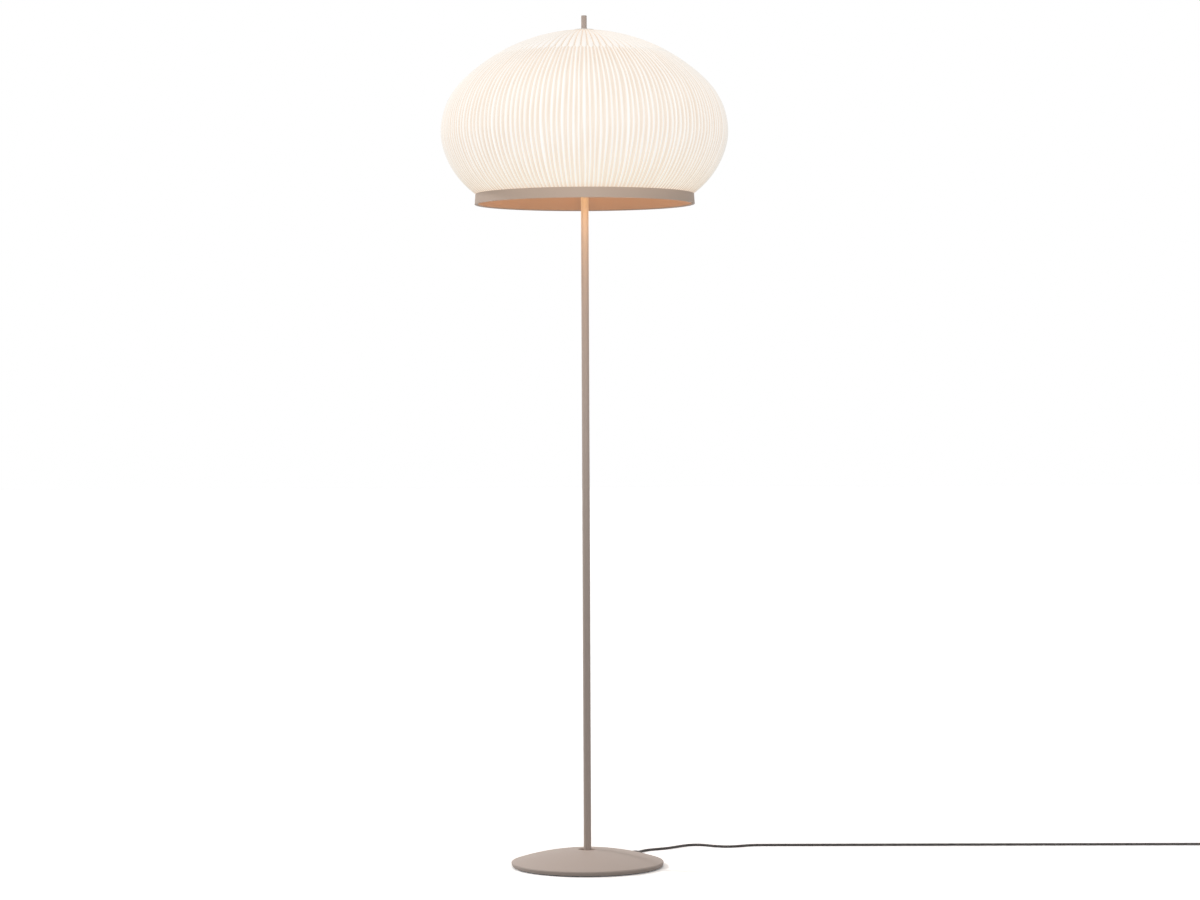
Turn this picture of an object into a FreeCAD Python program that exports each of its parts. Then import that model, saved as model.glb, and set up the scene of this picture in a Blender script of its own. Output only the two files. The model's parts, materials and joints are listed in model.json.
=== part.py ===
import FreeCAD, Part
import math
import os
import re
import Sketcher

# Floor lamp with a ribbed knitted shade: domed base, straight stem, opal light tube, and a push-button
# rod on the crown. Millimetres, +Z up, origin on the floor under the stem, +X along the cord's run.

Vector = FreeCAD.Vector
UP = Vector(0, 0, 1)
doc = FreeCAD.newDocument("floor_lamp")
sheet = doc.addObject("Spreadsheet::Sheet", "size")

# Driving dimensions
SIZES = {
    "base_radius": 151.5,
    "base_crown": 35.0,
    "rim_round": 3.0,
    "rim_lift": 4.8,
    "skirt_taper": 17.0,
    "skirt_foot": 2.5,
    "cover_wall": 1.5,
    "recess_radius": 17.0,
    "recess_depth": 5.4,
    "recess_round": 3.0,
    "pad_thickness": 1.5,
    "pad_width": 24.0,
    "pad_inset": 4.4,
    "plate_thickness": 2.0,
    "plate_inset": 0.4,
    "plate_chamfer": 1.0,
    "weight_gap": 1.0,
    "weight_inset": 7.5,
    "web_thickness": 6.0,
    "nut_well_radius": 14.0,
    "plate_screw_inset": 23.0,
    "plate_screw_radius": 2.0,
    "plate_screw_head": 3.8,
    "plate_screw_length": 9.0,
    "driver_length": 104.0,
    "driver_width": 32.0,
    "driver_height": 14.0,
    "driver_offset": 76.0,
    "tape_thickness": 0.8,
    "terminal_length": 26.0,
    "terminal_width": 18.0,
    "terminal_height": 13.0,
    "terminal_gap": 7.0,
    "bay_gap": 1.5,
    "channel_width": 9.0,
    "lead_bay": 26.0,
    "cord_diameter": 5.0,
    "cord_height": 7.4,
    "cord_azimuth": 59.0,
    "cord_exit_run": 16.0,
    "grommet_sleeve": 24.0,
    "grommet_root": 3.3,
    "grommet_tip": 2.9,
    "grommet_flange": 3.7,
    "flange_thickness": 2.0,
    "clamp_length": 26.0,
    "clamp_width": 8.0,
    "clamp_height": 9.5,
    "clamp_inset": 29.0,
    "clamp_screw_spacing": 16.0,
    "clamp_screw_radius": 1.5,
    "clamp_screw_head": 2.8,
    "clamp_head_height": 1.8,
    "stem_radius": 7.5,
    "stem_wall": 1.5,
    "stud_radius": 5.0,
    "stud_bore": 2.6,
    "stud_length": 17.0,
    "spigot_length": 40.0,
    "washer_radius": 10.0,
    "washer_thickness": 1.5,
    "nut_across": 17.0,
    "nut_height": 5.0,
    "lead_diameter": 3.0,
    "lead_bend": 6.5,
    "board_lead": 2.0,
    "ring_bottom": 1317.4,
    "ring_height": 20.4,
    "ring_flare": 1.4,
    "ring_lip": 1.5,
    "ring_inner_wall": 1.6,
    "ring_inner_height": 42.0,
    "ring_edge": 1.5,
    "hem_depth": 9.0,
    "shade_radius": 286.0,
    "shade_mouth": 216.0,
    "shade_drop": 121.9,
    "shade_rise": 204.5,
    "shade_hole": 9.0,
    "shoulder_angle": 45.8,
    "hip_angle": 14.8,
    "hip_radius": 102.8,
    "crown_offset": 5.4,
    "knit_thickness": 1.2,
    "liner_thickness": 1.0,
    "liner_gap": 7.0,
    "liner_hip_radius": 67.1,
    "liner_foot": 3.0,
    "spider_hub_radius": 14.0,
    "spider_hub_height": 14.0,
    "spoke_width": 12.0,
    "spoke_thickness": 4.0,
    "spoke_tab": 12.0,
    "tab_thickness": 3.0,
    "spider_screw_radius": 1.5,
    "spider_screw_head": 2.8,
    "spider_head_height": 1.8,
    "spider_screw_tip": 1.0,
    "set_screw_radius": 2.0,
    "set_screw_rise": 3.5,
    "core_across": 27.0,
    "core_clear": 4.0,
    "core_height": 196.0,
    "board_width": 10.0,
    "board_thickness": 1.2,
    "chip_size": 3.2,
    "chip_height": 0.8,
    "chip_pitch": 16.0,
    "tube_radius": 30.0,
    "tube_wall": 2.0,
    "tube_cap": 12.0,
    "tube_seat": 5.0,
    "hub_radius": 11.5,
    "hub_neck": 8.4,
    "hub_flange": 20.0,
    "hub_flange_thickness": 3.0,
    "hub_guide": 11.0,
    "hub_socket": 20.0,
    "cap_thickness": 1.2,
    "button_radius": 5.5,
    "button_slip": 0.2,
    "button_reach": 28.0,
    "button_chamfer": 0.6,
    "button_flange": 6.9,
    "button_flange_thickness": 2.5,
    "button_travel": 3.0,
    "switch_body": 5.6,
    "switch_length": 22.0,
    "switch_flange_thickness": 2.0,
    "plunger_radius": 2.4,
    "button_room": 16.0,
    "spring_radius": 5.0,
    "spring_wire": 0.8,
    "spring_turns": 6.0,
    "spring_end_gap": 0.3,
    "coil_core": 20.6,
    "coil_pitch": 5.5,
    "coil_turns_in": 3.25,
    "coil_turns_out": 2.75,
    "coil_tail": 34.0,
    "tie_width": 10.0,
    "tie_thickness": 0.8,
    "tie_gap": 0.2,
    "plug_length": 34.0,
    "plug_width": 26.0,
    "plug_round": 5.0,
    "plug_neck": 14.0,
    "plug_neck_root": 5.2,
    "plug_neck_tip": 3.4,
    "pin_radius": 2.0,
    "pin_length": 19.0,
    "pin_spacing": 18.6,
    "slip": 0.05,
    "fit": 0.1,
    "bolt_clear": 0.25,
}

# Levels and radii worked out from the driving dimensions
LEVELS = {
    # Base, from the floor up
    "plate_top": "pad_thickness + plate_thickness",
    "rim_centre_r": "base_radius - rim_round",
    "rim_centre_z": "plate_top + rim_lift",
    "rim_below_crown": "base_crown - rim_centre_z",
    "dome_radius": "(rim_centre_r^2 + rim_below_crown^2 - rim_round^2) / (2 * (rim_below_crown - rim_round))",
    "dome_centre_z": "base_crown - dome_radius",
    "rim_tilt": "asin(rim_centre_r / (dome_radius - rim_round))",
    "rim_inner": "rim_round - cover_wall",
    "skirt_top_r": "rim_centre_r + rim_round * cos(skirt_taper)",
    "skirt_top_z": "rim_centre_z - rim_round * sin(skirt_taper)",
    "skirt_foot_r": "skirt_top_r - (skirt_top_z - skirt_foot) * tan(skirt_taper)",
    "skirt_inner_r": "skirt_foot_r - cover_wall / cos(skirt_taper)",
    "recess_floor": "base_crown - recess_depth",
    "lip_centre_r": "recess_radius + recess_round",
    "lip_centre_z": "dome_centre_z + sqrt((dome_radius - recess_round)^2 - lip_centre_r^2)",
    "lip_tilt": "asin(lip_centre_r / (dome_radius - recess_round))",
    "plate_radius": "skirt_inner_r - plate_inset",
    "pad_outer": "plate_radius - pad_inset",
    "stud_hole": "stud_radius + bolt_clear",
    "weight_top": "recess_floor - cover_wall",
    "weight_radius": "rim_centre_r - weight_inset",
    "plate_screw_circle": "weight_radius - plate_screw_inset",
    "clamp_radius": "weight_radius - clamp_inset",
    "terminal_radius": "clamp_radius - (clamp_width + terminal_width) / 2 - terminal_gap",
    "weight_dome": "dome_radius - cover_wall - weight_gap",
    "weight_well": "recess_radius + cover_wall + weight_gap",
    "weight_shoulder_z": "dome_centre_z + sqrt(weight_dome^2 - weight_radius^2)",
    "weight_well_z": "dome_centre_z + sqrt(weight_dome^2 - weight_well^2)",
    "nut_ceiling": "weight_top - web_thickness",
    "driver_z": "plate_top + tape_thickness",
    "stud_bottom": "recess_floor - stud_length",
    "lead_z": "plate_top + lead_diameter / 2",
    "lead_room": "lead_diameter + bay_gap",
    "cord_radius": "cord_diameter / 2",
    "cord_start_r": "base_radius + fit + grommet_sleeve",
    "nut_bottom": "nut_ceiling - washer_thickness - nut_height",
    # Shade and ring
    "ring_top": "ring_bottom + ring_height",
    "ring_inner_top": "ring_bottom + ring_inner_height",
    "groove_outer": "shade_mouth + fit",
    "groove_inner": "shade_mouth - knit_thickness - liner_thickness - 2 * fit",
    "ring_bore": "groove_inner - ring_inner_wall",
    "groove_floor": "ring_top - hem_depth - fit",
    "equator_z": "ring_top + shade_drop",
    "liner_radius": "shade_radius - knit_thickness - liner_gap",
    "liner_mouth": "shade_mouth - knit_thickness - fit",
    "liner_rise": "shade_rise - knit_thickness - fit",
    # Crown, from the shade's hole down
    "crown_slope_r": "shade_hole + crown_offset",
    "shoulder_share": "(1 - sin(shoulder_angle)) / cos(shoulder_angle)",
    "shoulder_radius":
        "(shade_rise - shoulder_share * (shade_radius + crown_offset)) / (1 - shoulder_share)",
    "crown_radius":
        "shoulder_radius + (shade_radius + crown_offset - shoulder_radius) / cos(shoulder_angle)",
    "crown_edge_z":
        "equator_z + shade_rise - crown_radius + sqrt(crown_radius^2 - crown_slope_r^2)",
    "flange_edge_drop":
        "crown_radius - sqrt(crown_radius^2 - (hub_flange + crown_offset)^2)",
    "hub_flange_top":
        "equator_z + shade_rise - flange_edge_drop - knit_thickness - liner_thickness - 3 * fit",
    "hub_top": "crown_edge_z + cap_thickness",
    "hub_ledge": "hub_flange_top - hub_guide",
    "stem_top": "hub_ledge - button_room",
    "hub_bottom": "stem_top - hub_socket",
    "button_top": "crown_edge_z + button_reach + cap_thickness",
    "button_flange_top": "hub_ledge - fit",
    "button_flange_bottom": "button_flange_top - button_flange_thickness",
    "switch_seat": "stem_top + switch_flange_thickness",
    "plunger_top": "button_flange_bottom - button_travel - fit",
    "spring_bottom": "switch_seat + spring_wire / 2 + spring_end_gap",
    "spring_top": "button_flange_bottom - spring_wire / 2 - spring_end_gap",
    # Light core on the stem
    "stem_bore": "stem_radius - stem_wall",
    "stem_slide": "stem_radius + slip",
    "core_top": "hub_bottom - core_clear - tube_cap",
    "core_bottom": "core_top - core_height",
    "tube_bottom": "core_bottom - tube_seat + fit",
    "tube_top": "core_top + tube_seat - fit",
    "tube_cap_bottom": "core_bottom - tube_cap",
    "tube_cap_top": "core_top + tube_cap",
    "board_lead_z": "core_top - chip_pitch / 4",
    "lower_grip_z": "tube_cap_bottom + set_screw_rise",
    "upper_grip_z": "tube_cap_top - set_screw_rise",
    "hub_grip_z": "hub_bottom + 2 * set_screw_rise",
    "spoke_z": "ring_inner_top - spoke_thickness",
    "spider_hub_z": "ring_inner_top - spider_hub_height / 2",
    "spider_grip_z": "spoke_z + spoke_thickness / 2",
    "tab_z": "ring_inner_top - spoke_thickness - (spoke_tab - spoke_thickness) / 2",
    # Coil at the cord's far end
    "coil_outer": "coil_core + coil_pitch * coil_turns_in",
}

for row, (alias, number) in enumerate(SIZES.items(), start=1):
    sheet.set("A%d" % row, alias)
    sheet.set("B%d" % row, str(number))
    sheet.setAlias("B%d" % row, alias)
doc.recompute()


def bind(text):
    # A formula in the names above, written out in the sheet's own cells.
    def name(match):
        word = match.group(0)
        if word in SIZES:
            return "size." + word
        if word in LEVELS:
            return "(" + bind(LEVELS[word]) + ")"
        return word
    return re.sub(r"[a-z_][a-z_0-9]*", name, str(text))


def value(text):
    number = sheet.evalExpression(bind(text))
    return float(getattr(number, "Value", number))


def drive(item, **sizes):
    for prop, text in sizes.items():
        item.setExpression(prop, bind(text))
    return item


def place(item, along="0", across="0", height="0", azimuth="0", turn=None):
    # Puts an item at a distance along a bearing, a distance across it, and a height.
    spin = FreeCAD.Rotation(UP, value(azimuth))
    item.Placement = FreeCAD.Placement(Vector(), spin.multiply(turn) if turn else spin)
    east = "(%s) * cos(%s) - (%s) * sin(%s)" % (along, azimuth, across, azimuth)
    north = "(%s) * sin(%s) + (%s) * cos(%s)" % (along, azimuth, across, azimuth)
    item.setExpression("Placement.Base.x", bind(east))
    item.setExpression("Placement.Base.y", bind(north))
    item.setExpression("Placement.Base.z", bind(height))
    return item


OUTWARD = FreeCAD.Rotation(Vector(0, 1, 0), 90)
BOARD_AZIMUTHS = ("30", "90", "150", "210", "270", "330")


def box(label, length, width, height):
    return drive(doc.addObject("Part::Box", label), Length=length, Width=width, Height=height)


def rod(label, radius, height):
    return drive(doc.addObject("Part::Cylinder", label), Radius=radius, Height=height)


def cone(label, low, high, height):
    return drive(doc.addObject("Part::Cone", label), Radius1=low, Radius2=high, Height=height)


def hexagon(label, across, height):
    prism = doc.addObject("Part::Prism", label)
    prism.Polygon = 6
    return drive(prism, Circumradius="(%s) / sqrt(3)" % across, Height=height)


def fuse(label, *items):
    joined = doc.addObject("Part::MultiFuse", label)
    joined.Shapes = list(items)
    return joined


def common(label, *items):
    shared = doc.addObject("Part::MultiCommon", label)
    shared.Shapes = list(items)
    return shared


def cut(label, base, *tools):
    left = doc.addObject("Part::Cut", label)
    left.Base = base
    left.Tool = tools[0] if len(tools) == 1 else fuse(label + "_tools", *tools)
    return left


def group(label, *items):
    together = doc.addObject("Part::Compound", label)
    together.Links = list(items)
    return together


def arc_through(start, end, radius, bulge):
    # The short arc between two points; bulge is 1 when it bows to the left of the way from start to end.
    chord = end - start
    middle = (start + end) * 0.5
    left = Vector(-chord.y, chord.x, 0).normalize()
    rise = math.sqrt(radius ** 2 - (chord.Length / 2) ** 2)
    centre = middle - left * (bulge * rise)
    return Part.Arc(start, centre + left * (bulge * radius), end)


def turned(label, outline):
    # A body of revolution about +Z. Each outline entry is a corner (r, z); a third and fourth entry make
    # the edge that leaves the corner an arc of that radius, bowing left (1) or right (-1).
    body = doc.addObject("PartDesign::Body", label)
    sketch = body.newObject("Sketcher::SketchObject", label + "_outline")
    plane = [item for item in body.Origin.OriginFeatures if item.Role == "XZ_Plane"][0]
    sketch.AttachmentSupport = [(plane, "")]
    sketch.MapMode = "FlatFace"
    corners = [Vector(value(entry[0]), value(entry[1]), 0) for entry in outline]
    count = len(outline)
    first_ends = []
    for index, entry in enumerate(outline):
        start, end = corners[index], corners[(index + 1) % count]
        if len(entry) == 2:
            sketch.addGeometry(Part.LineSegment(start, end), False)
            first_ends.append(1)
        else:
            arc = arc_through(start, end, value(entry[2]), entry[3])
            sketch.addGeometry(arc, False)
            first_ends.append(1 if sketch.getPoint(index, 1).isEqual(start, 1e-6) else 2)
    for index in range(count):
        after = (index + 1) % count
        last_end = 3 - first_ends[index]
        sketch.addConstraint(Sketcher.Constraint("Coincident", index, last_end, after, first_ends[after]))
    for index, entry in enumerate(outline):
        corner = corners[index]
        for kind, number, text in (("DistanceX", corner.x, entry[0]), ("DistanceY", corner.y, entry[1])):
            reach = Sketcher.Constraint(kind, -1, 1, index, first_ends[index], number)
            reach_id = sketch.addConstraint(reach)
            sketch.setExpression("Constraints[%d]" % reach_id, bind(text))
        if len(entry) == 4:
            bend_id = sketch.addConstraint(Sketcher.Constraint("Radius", index, value(entry[2])))
            sketch.setExpression("Constraints[%d]" % bend_id, bind(entry[2]))
    spin = body.newObject("PartDesign::Revolution", label + "_spin")
    spin.Profile = (sketch, [""])
    spin.ReferenceAxis = (sketch, ["V_Axis"])
    spin.Angle = 360
    return body


def tube_ring(label, inner, outer, low, high):
    return turned(label, [(inner, low), (outer, low), (outer, high), (inner, high)])


BEND_SHARE = 0.45


def rounded_path(label, points, bends=None):
    # Straight runs joined by tangent arcs, each as large as its two runs allow: an arc takes up its share of
    # the shorter run.
    edges, radii = [], []
    start = points[0]
    for index in range(1, len(points) - 1):
        before, corner, after = points[index - 1], points[index], points[index + 1]
        run_in, run_out = corner - before, after - corner
        half_turn = run_in.getAngle(run_out) / 2
        reach = BEND_SHARE * min(run_in.Length, run_out.Length)
        if bends and index in bends:
            reach = bends[index] * math.tan(half_turn)
        radii.append(reach / math.tan(half_turn))
        enter = corner - run_in.normalize() * reach
        leave = corner + run_out.normalize() * reach
        chord_middle = (enter + leave) * 0.5
        cosine = (leave - enter).Length / 2 / reach
        crest = chord_middle + (corner - chord_middle) * (cosine / (1 + cosine))
        edges.append(Part.LineSegment(start, enter).toShape())
        edges.append(Part.Arc(enter, crest, leave).toShape())
        start = leave
    edges.append(Part.LineSegment(start, points[-1]).toShape())
    print(label, "bend radii", [round(radius, 1) for radius in radii])
    return Part.Wire(edges)


def biarc(start, start_way, end, end_way):
    # Two tangent arcs from one point and heading to another.
    span = end - start
    ways = start_way + end_way
    turn = 2 * (1 - start_way.dot(end_way))
    lean = span.dot(ways)
    reach = (math.sqrt(lean ** 2 + turn * span.dot(span)) - lean) / turn
    first, second = start + start_way * reach, end - end_way * reach
    joint = (first + second) * 0.5
    arcs = []
    for low, corner, high in ((start, first, joint), (joint, second, end)):
        middle = (low + high) * 0.5
        cosine = (high - low).Length / 2 / reach
        arcs.append(Part.Arc(low, middle + (corner - middle) * (cosine / (1 + cosine)), high).toShape())
    return arcs


def wound_path(place_at, turns):
    # A winding on biarcs of a quarter turn. place_at gives the point at a count of turns.
    step = 0.25
    near = 1e-5
    stops = [step * index for index in range(int(round(turns / step)) + 1)]
    points = [place_at(stop) for stop in stops]
    ways = [(place_at(stop + near) - place_at(stop - near)).normalize() for stop in stops]
    edges = []
    for index in range(len(stops) - 1):
        edges.extend(biarc(points[index], ways[index], points[index + 1], ways[index + 1]))
    return edges, points, ways


def round_tube(label, wire, radius):
    # A round section carried along a path, with its volume set against section times length.
    first = wire.OrderedEdges[0]
    start = first.valueAt(first.FirstParameter)
    way = first.tangentAt(first.FirstParameter)
    ring = Part.Wire([Part.Circle(start, way, radius).toShape()])
    solid = wire.makePipeShell([ring], True, False)
    share = solid.Volume / (math.pi * radius ** 2 * wire.Length)
    print(label, "length", round(wire.Length, 1), "volume share", round(share, 4))
    item = doc.addObject("Part::Feature", label)
    item.Shape = solid
    item.Placement = FreeCAD.Placement()
    return item


def least_gap(label, wire, radius, turns):
    # Least clear gap between stretches of one winding that are over a third of a turn apart.
    points = wire.discretize(Distance=radius / 2)
    skip = int(len(points) / turns / 3)
    least = min((low - high).Length for index, low in enumerate(points) for high in points[index + skip:])
    print(label, "least self-gap", round(least - 2 * radius, 2))


# Base: pad, bottom plate and screws

tube_ring("base_pad", "pad_outer - pad_width", "pad_outer", "0", "pad_thickness")

plate_disc = turned("plate_disc", [
    ("0", "pad_thickness"),
    ("plate_radius - plate_chamfer", "pad_thickness"),
    ("plate_radius", "pad_thickness + plate_chamfer"),
    ("plate_radius", "plate_top"),
    ("0", "plate_top"),
])

PLATE_SCREWS = ("20", "110", "200", "290")


def plate_screw(label, azimuth, room):
    # A countersunk screw, or with some room round it, its hole.
    radius = "plate_screw_radius + %s" % room
    head = cone(label + "_head", "plate_screw_head + %s" % room, radius, "plate_thickness")
    place(head, "plate_screw_circle", "0", "pad_thickness", azimuth)
    shank = rod(label + "_shank", radius, "plate_screw_length + plate_thickness + %s" % room)
    place(shank, "plate_screw_circle", "0", "pad_thickness", azimuth)
    return fuse(label, head, shank)


plate_holes = [plate_screw("plate_hole_%s" % bearing, bearing, "slip") for bearing in PLATE_SCREWS]
group("bottom_plate_screws",
      *[plate_screw("plate_screw_%s" % bearing, bearing, "0") for bearing in PLATE_SCREWS])


CLAMP_SIDES = (-1, 1)


def at_clamp(item, side, height):
    return place(item, "clamp_radius", "clamp_screw_spacing / 2 * (%d)" % side, height, "cord_azimuth")


def clamp_shank(label, side, room):
    shank = rod(label, "clamp_screw_radius + %s" % room, "plate_thickness + clamp_height")
    return at_clamp(shank, side, "pad_thickness")


clamp_holes = [clamp_shank("clamp_hole_%d" % number, side, "slip") for number, side in enumerate(CLAMP_SIDES)]
cut("base_bottom_plate", plate_disc, *plate_holes, *clamp_holes)

# Base: ballast with bays for the driver, the terminals, the leads and the stem's nut

weight_disc = turned("weight_disc", [
    ("nut_well_radius", "plate_top"),
    ("weight_radius", "plate_top"),
    ("weight_radius", "weight_shoulder_z", "weight_dome", -1),
    ("weight_well", "weight_well_z"),
    ("weight_well", "weight_top"),
    ("stud_hole", "weight_top"),
    ("stud_hole", "nut_ceiling"),
    ("nut_well_radius", "nut_ceiling"),
])


def bay(label, length, width, height, inner, azimuth):
    # A bay in the ballast's underside, from an inner radius out along a bearing.
    return place(box(label, length, width, height), inner, "-(%s) / 2" % width, "plate_top", azimuth)


bays = [
    bay("driver_bay", "driver_width + 2 * bay_gap", "driver_length + 2 * bay_gap",
        "tape_thickness + driver_height + bay_gap", "driver_offset - driver_width / 2 - bay_gap", "180"),
    bay("lead_channel", "driver_offset", "lead_bay", "lead_room", "0", "180"),
    bay("link_channel", "terminal_radius", "channel_width", "lead_room", "0", "cord_azimuth"),
    bay("terminal_bay", "terminal_width + 2 * bay_gap", "terminal_length + 2 * bay_gap",
        "terminal_height + bay_gap", "terminal_radius - terminal_width / 2 - bay_gap", "cord_azimuth"),
    bay("clamp_bay", "clamp_width + 2 * bay_gap", "clamp_length + 2 * bay_gap",
        "clamp_height + clamp_head_height + bay_gap", "clamp_radius - clamp_width / 2 - bay_gap",
        "cord_azimuth"),
    bay("cord_channel", "base_radius - terminal_radius", "channel_width",
        "cord_height + cord_radius - plate_top + bay_gap", "terminal_radius", "cord_azimuth"),
]
cut("base_weight", weight_disc, *bays, *plate_holes)


def block(label, length, width, height, middle, low, azimuth):
    # A block whose middle stands at a radius on a bearing.
    inner = "(%s) - (%s) / 2" % (middle, length)
    return place(box(label, length, width, height), inner, "-(%s) / 2" % width, low, azimuth)


block("driver_tape", "driver_width", "driver_length", "tape_thickness", "driver_offset", "plate_top", "180")
block("led_driver", "driver_width", "driver_length", "driver_height", "driver_offset", "driver_z", "180")
block("terminal_block", "terminal_width", "terminal_length", "terminal_height", "terminal_radius",
      "plate_top", "cord_azimuth")

# Base: spun cover with a tapered skirt round the plate and a recess for the stem's foot

cover_shell = turned("cover_shell", [
    ("stud_hole", "recess_floor"),
    ("recess_radius", "recess_floor"),
    ("recess_radius", "lip_centre_z", "recess_round", 1),
    ("dome_radius * sin(lip_tilt)", "dome_centre_z + dome_radius * cos(lip_tilt)", "dome_radius", 1),
    ("dome_radius * sin(rim_tilt)", "dome_centre_z + dome_radius * cos(rim_tilt)", "rim_round", 1),
    ("skirt_top_r", "skirt_top_z"),
    ("skirt_foot_r", "skirt_foot"),
    ("skirt_inner_r", "skirt_foot"),
    ("rim_centre_r + rim_inner * cos(skirt_taper)", "rim_centre_z - rim_inner * sin(skirt_taper)",
     "rim_inner", -1),
    ("(dome_radius - cover_wall) * sin(rim_tilt)",
     "dome_centre_z + (dome_radius - cover_wall) * cos(rim_tilt)", "dome_radius - cover_wall", -1),
    ("(dome_radius - cover_wall) * sin(lip_tilt)",
     "dome_centre_z + (dome_radius - cover_wall) * cos(lip_tilt)", "recess_round - cover_wall", -1),
    ("recess_radius + cover_wall", "lip_centre_z"),
    ("recess_radius + cover_wall", "recess_floor - cover_wall"),
    ("stud_hole", "recess_floor - cover_wall"),
])
cord_port = place(rod("cord_port", "grommet_root + fit", "base_radius - weight_radius + rim_round"),
                  "weight_radius", "0", "cord_height", "cord_azimuth", OUTWARD)
cut("base_cover", cover_shell, cord_port)

# Cord's way in: strain relief, anchor block, and the lead to the terminals

place(turned("cord_grommet", [
    ("cord_radius + slip", "0"),
    ("grommet_flange", "0"),
    ("grommet_flange", "flange_thickness"),
    ("grommet_root", "flange_thickness"),
    ("grommet_root", "base_radius - weight_radius"),
    ("grommet_tip", "base_radius - weight_radius + grommet_sleeve"),
    ("cord_radius + slip", "base_radius - weight_radius + grommet_sleeve"),
]), "weight_radius + fit", "0", "cord_height", "cord_azimuth", OUTWARD)

clamp_blank = block("clamp_blank", "clamp_width", "clamp_length", "clamp_height", "clamp_radius", "plate_top",
                    "cord_azimuth")
clamp_bore = place(rod("clamp_bore", "cord_radius + slip", "clamp_width + 2 * bay_gap"),
                   "clamp_radius - clamp_width / 2 - bay_gap", "0", "cord_height", "cord_azimuth", OUTWARD)
cut("cord_clamp", clamp_blank, clamp_bore, *clamp_holes)


def clamp_screw(label, side):
    head = rod(label + "_head", "clamp_screw_head", "clamp_head_height")
    at_clamp(head, side, "plate_top + clamp_height")
    return fuse(label, head, clamp_shank(label + "_shank", side, "0"))


group("cord_clamp_screws",
      *[clamp_screw("clamp_screw_%d" % number, side) for number, side in enumerate(CLAMP_SIDES)])

place(rod("inlet_lead", "cord_radius", "cord_start_r - terminal_radius - terminal_width / 2"),
      "terminal_radius + terminal_width / 2", "0", "cord_height", "cord_azimuth", OUTWARD)

# Stem: tube, threaded foot, washer and nut

stem_pipe = tube_ring("stem_pipe", "stem_bore", "stem_radius", "recess_floor", "stem_top")
board_lead_hole = place(rod("board_lead_hole", "board_lead / 2 + slip", "core_across"),
                        "0", "0", "board_lead_z", BOARD_AZIMUTHS[0], OUTWARD)
cut("stem_tube", stem_pipe, board_lead_hole)

turned("stem_foot", [
    ("stud_bore", "stud_bottom"),
    ("stud_radius", "stud_bottom"),
    ("stud_radius", "recess_floor"),
    ("stem_bore - slip", "recess_floor"),
    ("stem_bore - slip", "recess_floor + spigot_length"),
    ("stud_bore", "recess_floor + spigot_length"),
])
tube_ring("stem_washer", "stud_hole", "washer_radius", "nut_ceiling - washer_thickness", "nut_ceiling")
nut_blank = place(hexagon("nut_blank", "nut_across", "nut_height"), height="nut_bottom")
nut_thread = place(rod("nut_thread", "stud_radius + slip", "nut_height"), height="nut_bottom")
cut("stem_nut", nut_blank, nut_thread)

# Leads inside the base and the stem

lead_z = value("lead_z")
lead_radius = value("lead_diameter / 2")
driver_face = -value("driver_offset - driver_width / 2")
stem_route = [
    Vector(driver_face, 0, lead_z),
    Vector(0, 0, lead_z),
    Vector(0, 0, value("stem_top - switch_length")),
]
round_tube("stem_lead", rounded_path("stem_lead", stem_route, {1: value("lead_bend")}), lead_radius)

link_bearing = math.radians(value("cord_azimuth"))
link_way = Vector(math.cos(link_bearing), math.sin(link_bearing), 0)
link_side = value("lead_bay / 3")
link_route = [
    link_way * value("terminal_radius - terminal_width / 2") + UP * lead_z,
    link_way * value("nut_well_radius") + UP * lead_z,
    Vector(-value("nut_well_radius / 2"), link_side, lead_z),
    Vector(driver_face, link_side, lead_z),
]
round_tube("link_lead", rounded_path("link_lead", link_route), lead_radius)

# Shade: ring, spider, two knitted layers

ring_band = turned("ring_band", [
    ("ring_bore + ring_edge", "ring_bottom"),
    ("groove_outer + ring_lip + ring_flare", "ring_bottom"),
    ("groove_outer + ring_lip", "ring_top"),
    ("groove_outer", "ring_top"),
    ("groove_outer", "groove_floor"),
    ("groove_inner", "groove_floor"),
    ("groove_inner", "ring_inner_top"),
    ("ring_bore", "ring_inner_top"),
    ("ring_bore", "ring_bottom + ring_edge"),
])
SPOKES = ("90", "210", "330")


def spider_shank(label, azimuth, room):
    # A spider screw's shank, or with some room round it, its hole.
    length = "tab_thickness + ring_inner_wall + spider_screw_tip"
    shank = rod(label, "spider_screw_radius + %s" % room, length)
    return place(shank, "ring_bore - tab_thickness", "0", "tab_z", azimuth, OUTWARD)


def spider_screw(label, azimuth):
    head = place(rod(label + "_head", "spider_screw_head", "spider_head_height"),
                 "ring_bore - tab_thickness - spider_head_height", "0", "tab_z", azimuth, OUTWARD)
    return fuse(label, head, spider_shank(label + "_shank", azimuth, "0"))


spider_holes = [spider_shank("spider_hole_" + bearing, bearing, "slip") for bearing in SPOKES]
group("spider_screws", *[spider_screw("spider_screw_" + bearing, bearing) for bearing in SPOKES])
cut("shade_ring", ring_band, *spider_holes)

spider_arms = [place(rod("spider_hub", "spider_hub_radius", "spider_hub_height"), height="spider_hub_z")]
for bearing in SPOKES:
    spoke = place(box("spoke_" + bearing, "shade_mouth", "spoke_width", "spoke_thickness"),
                  "0", "-spoke_width / 2", "spoke_z", bearing)
    tab = place(box("tab_" + bearing, "tab_thickness + shade_mouth - ring_bore", "spoke_width", "spoke_tab"),
                "ring_bore - tab_thickness", "-spoke_width / 2", "ring_inner_top - spoke_tab", bearing)
    spider_arms.extend((spoke, tab))
spider_round = place(rod("spider_round", "ring_bore", "ring_inner_height"), height="ring_bottom + spoke_tab")
spider_blank = common("spider_blank", fuse("spider_star", *spider_arms), spider_round)
spider_bore = place(rod("spider_bore", "stem_slide", "ring_inner_height"), height="ring_bottom + spoke_tab")


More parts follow.
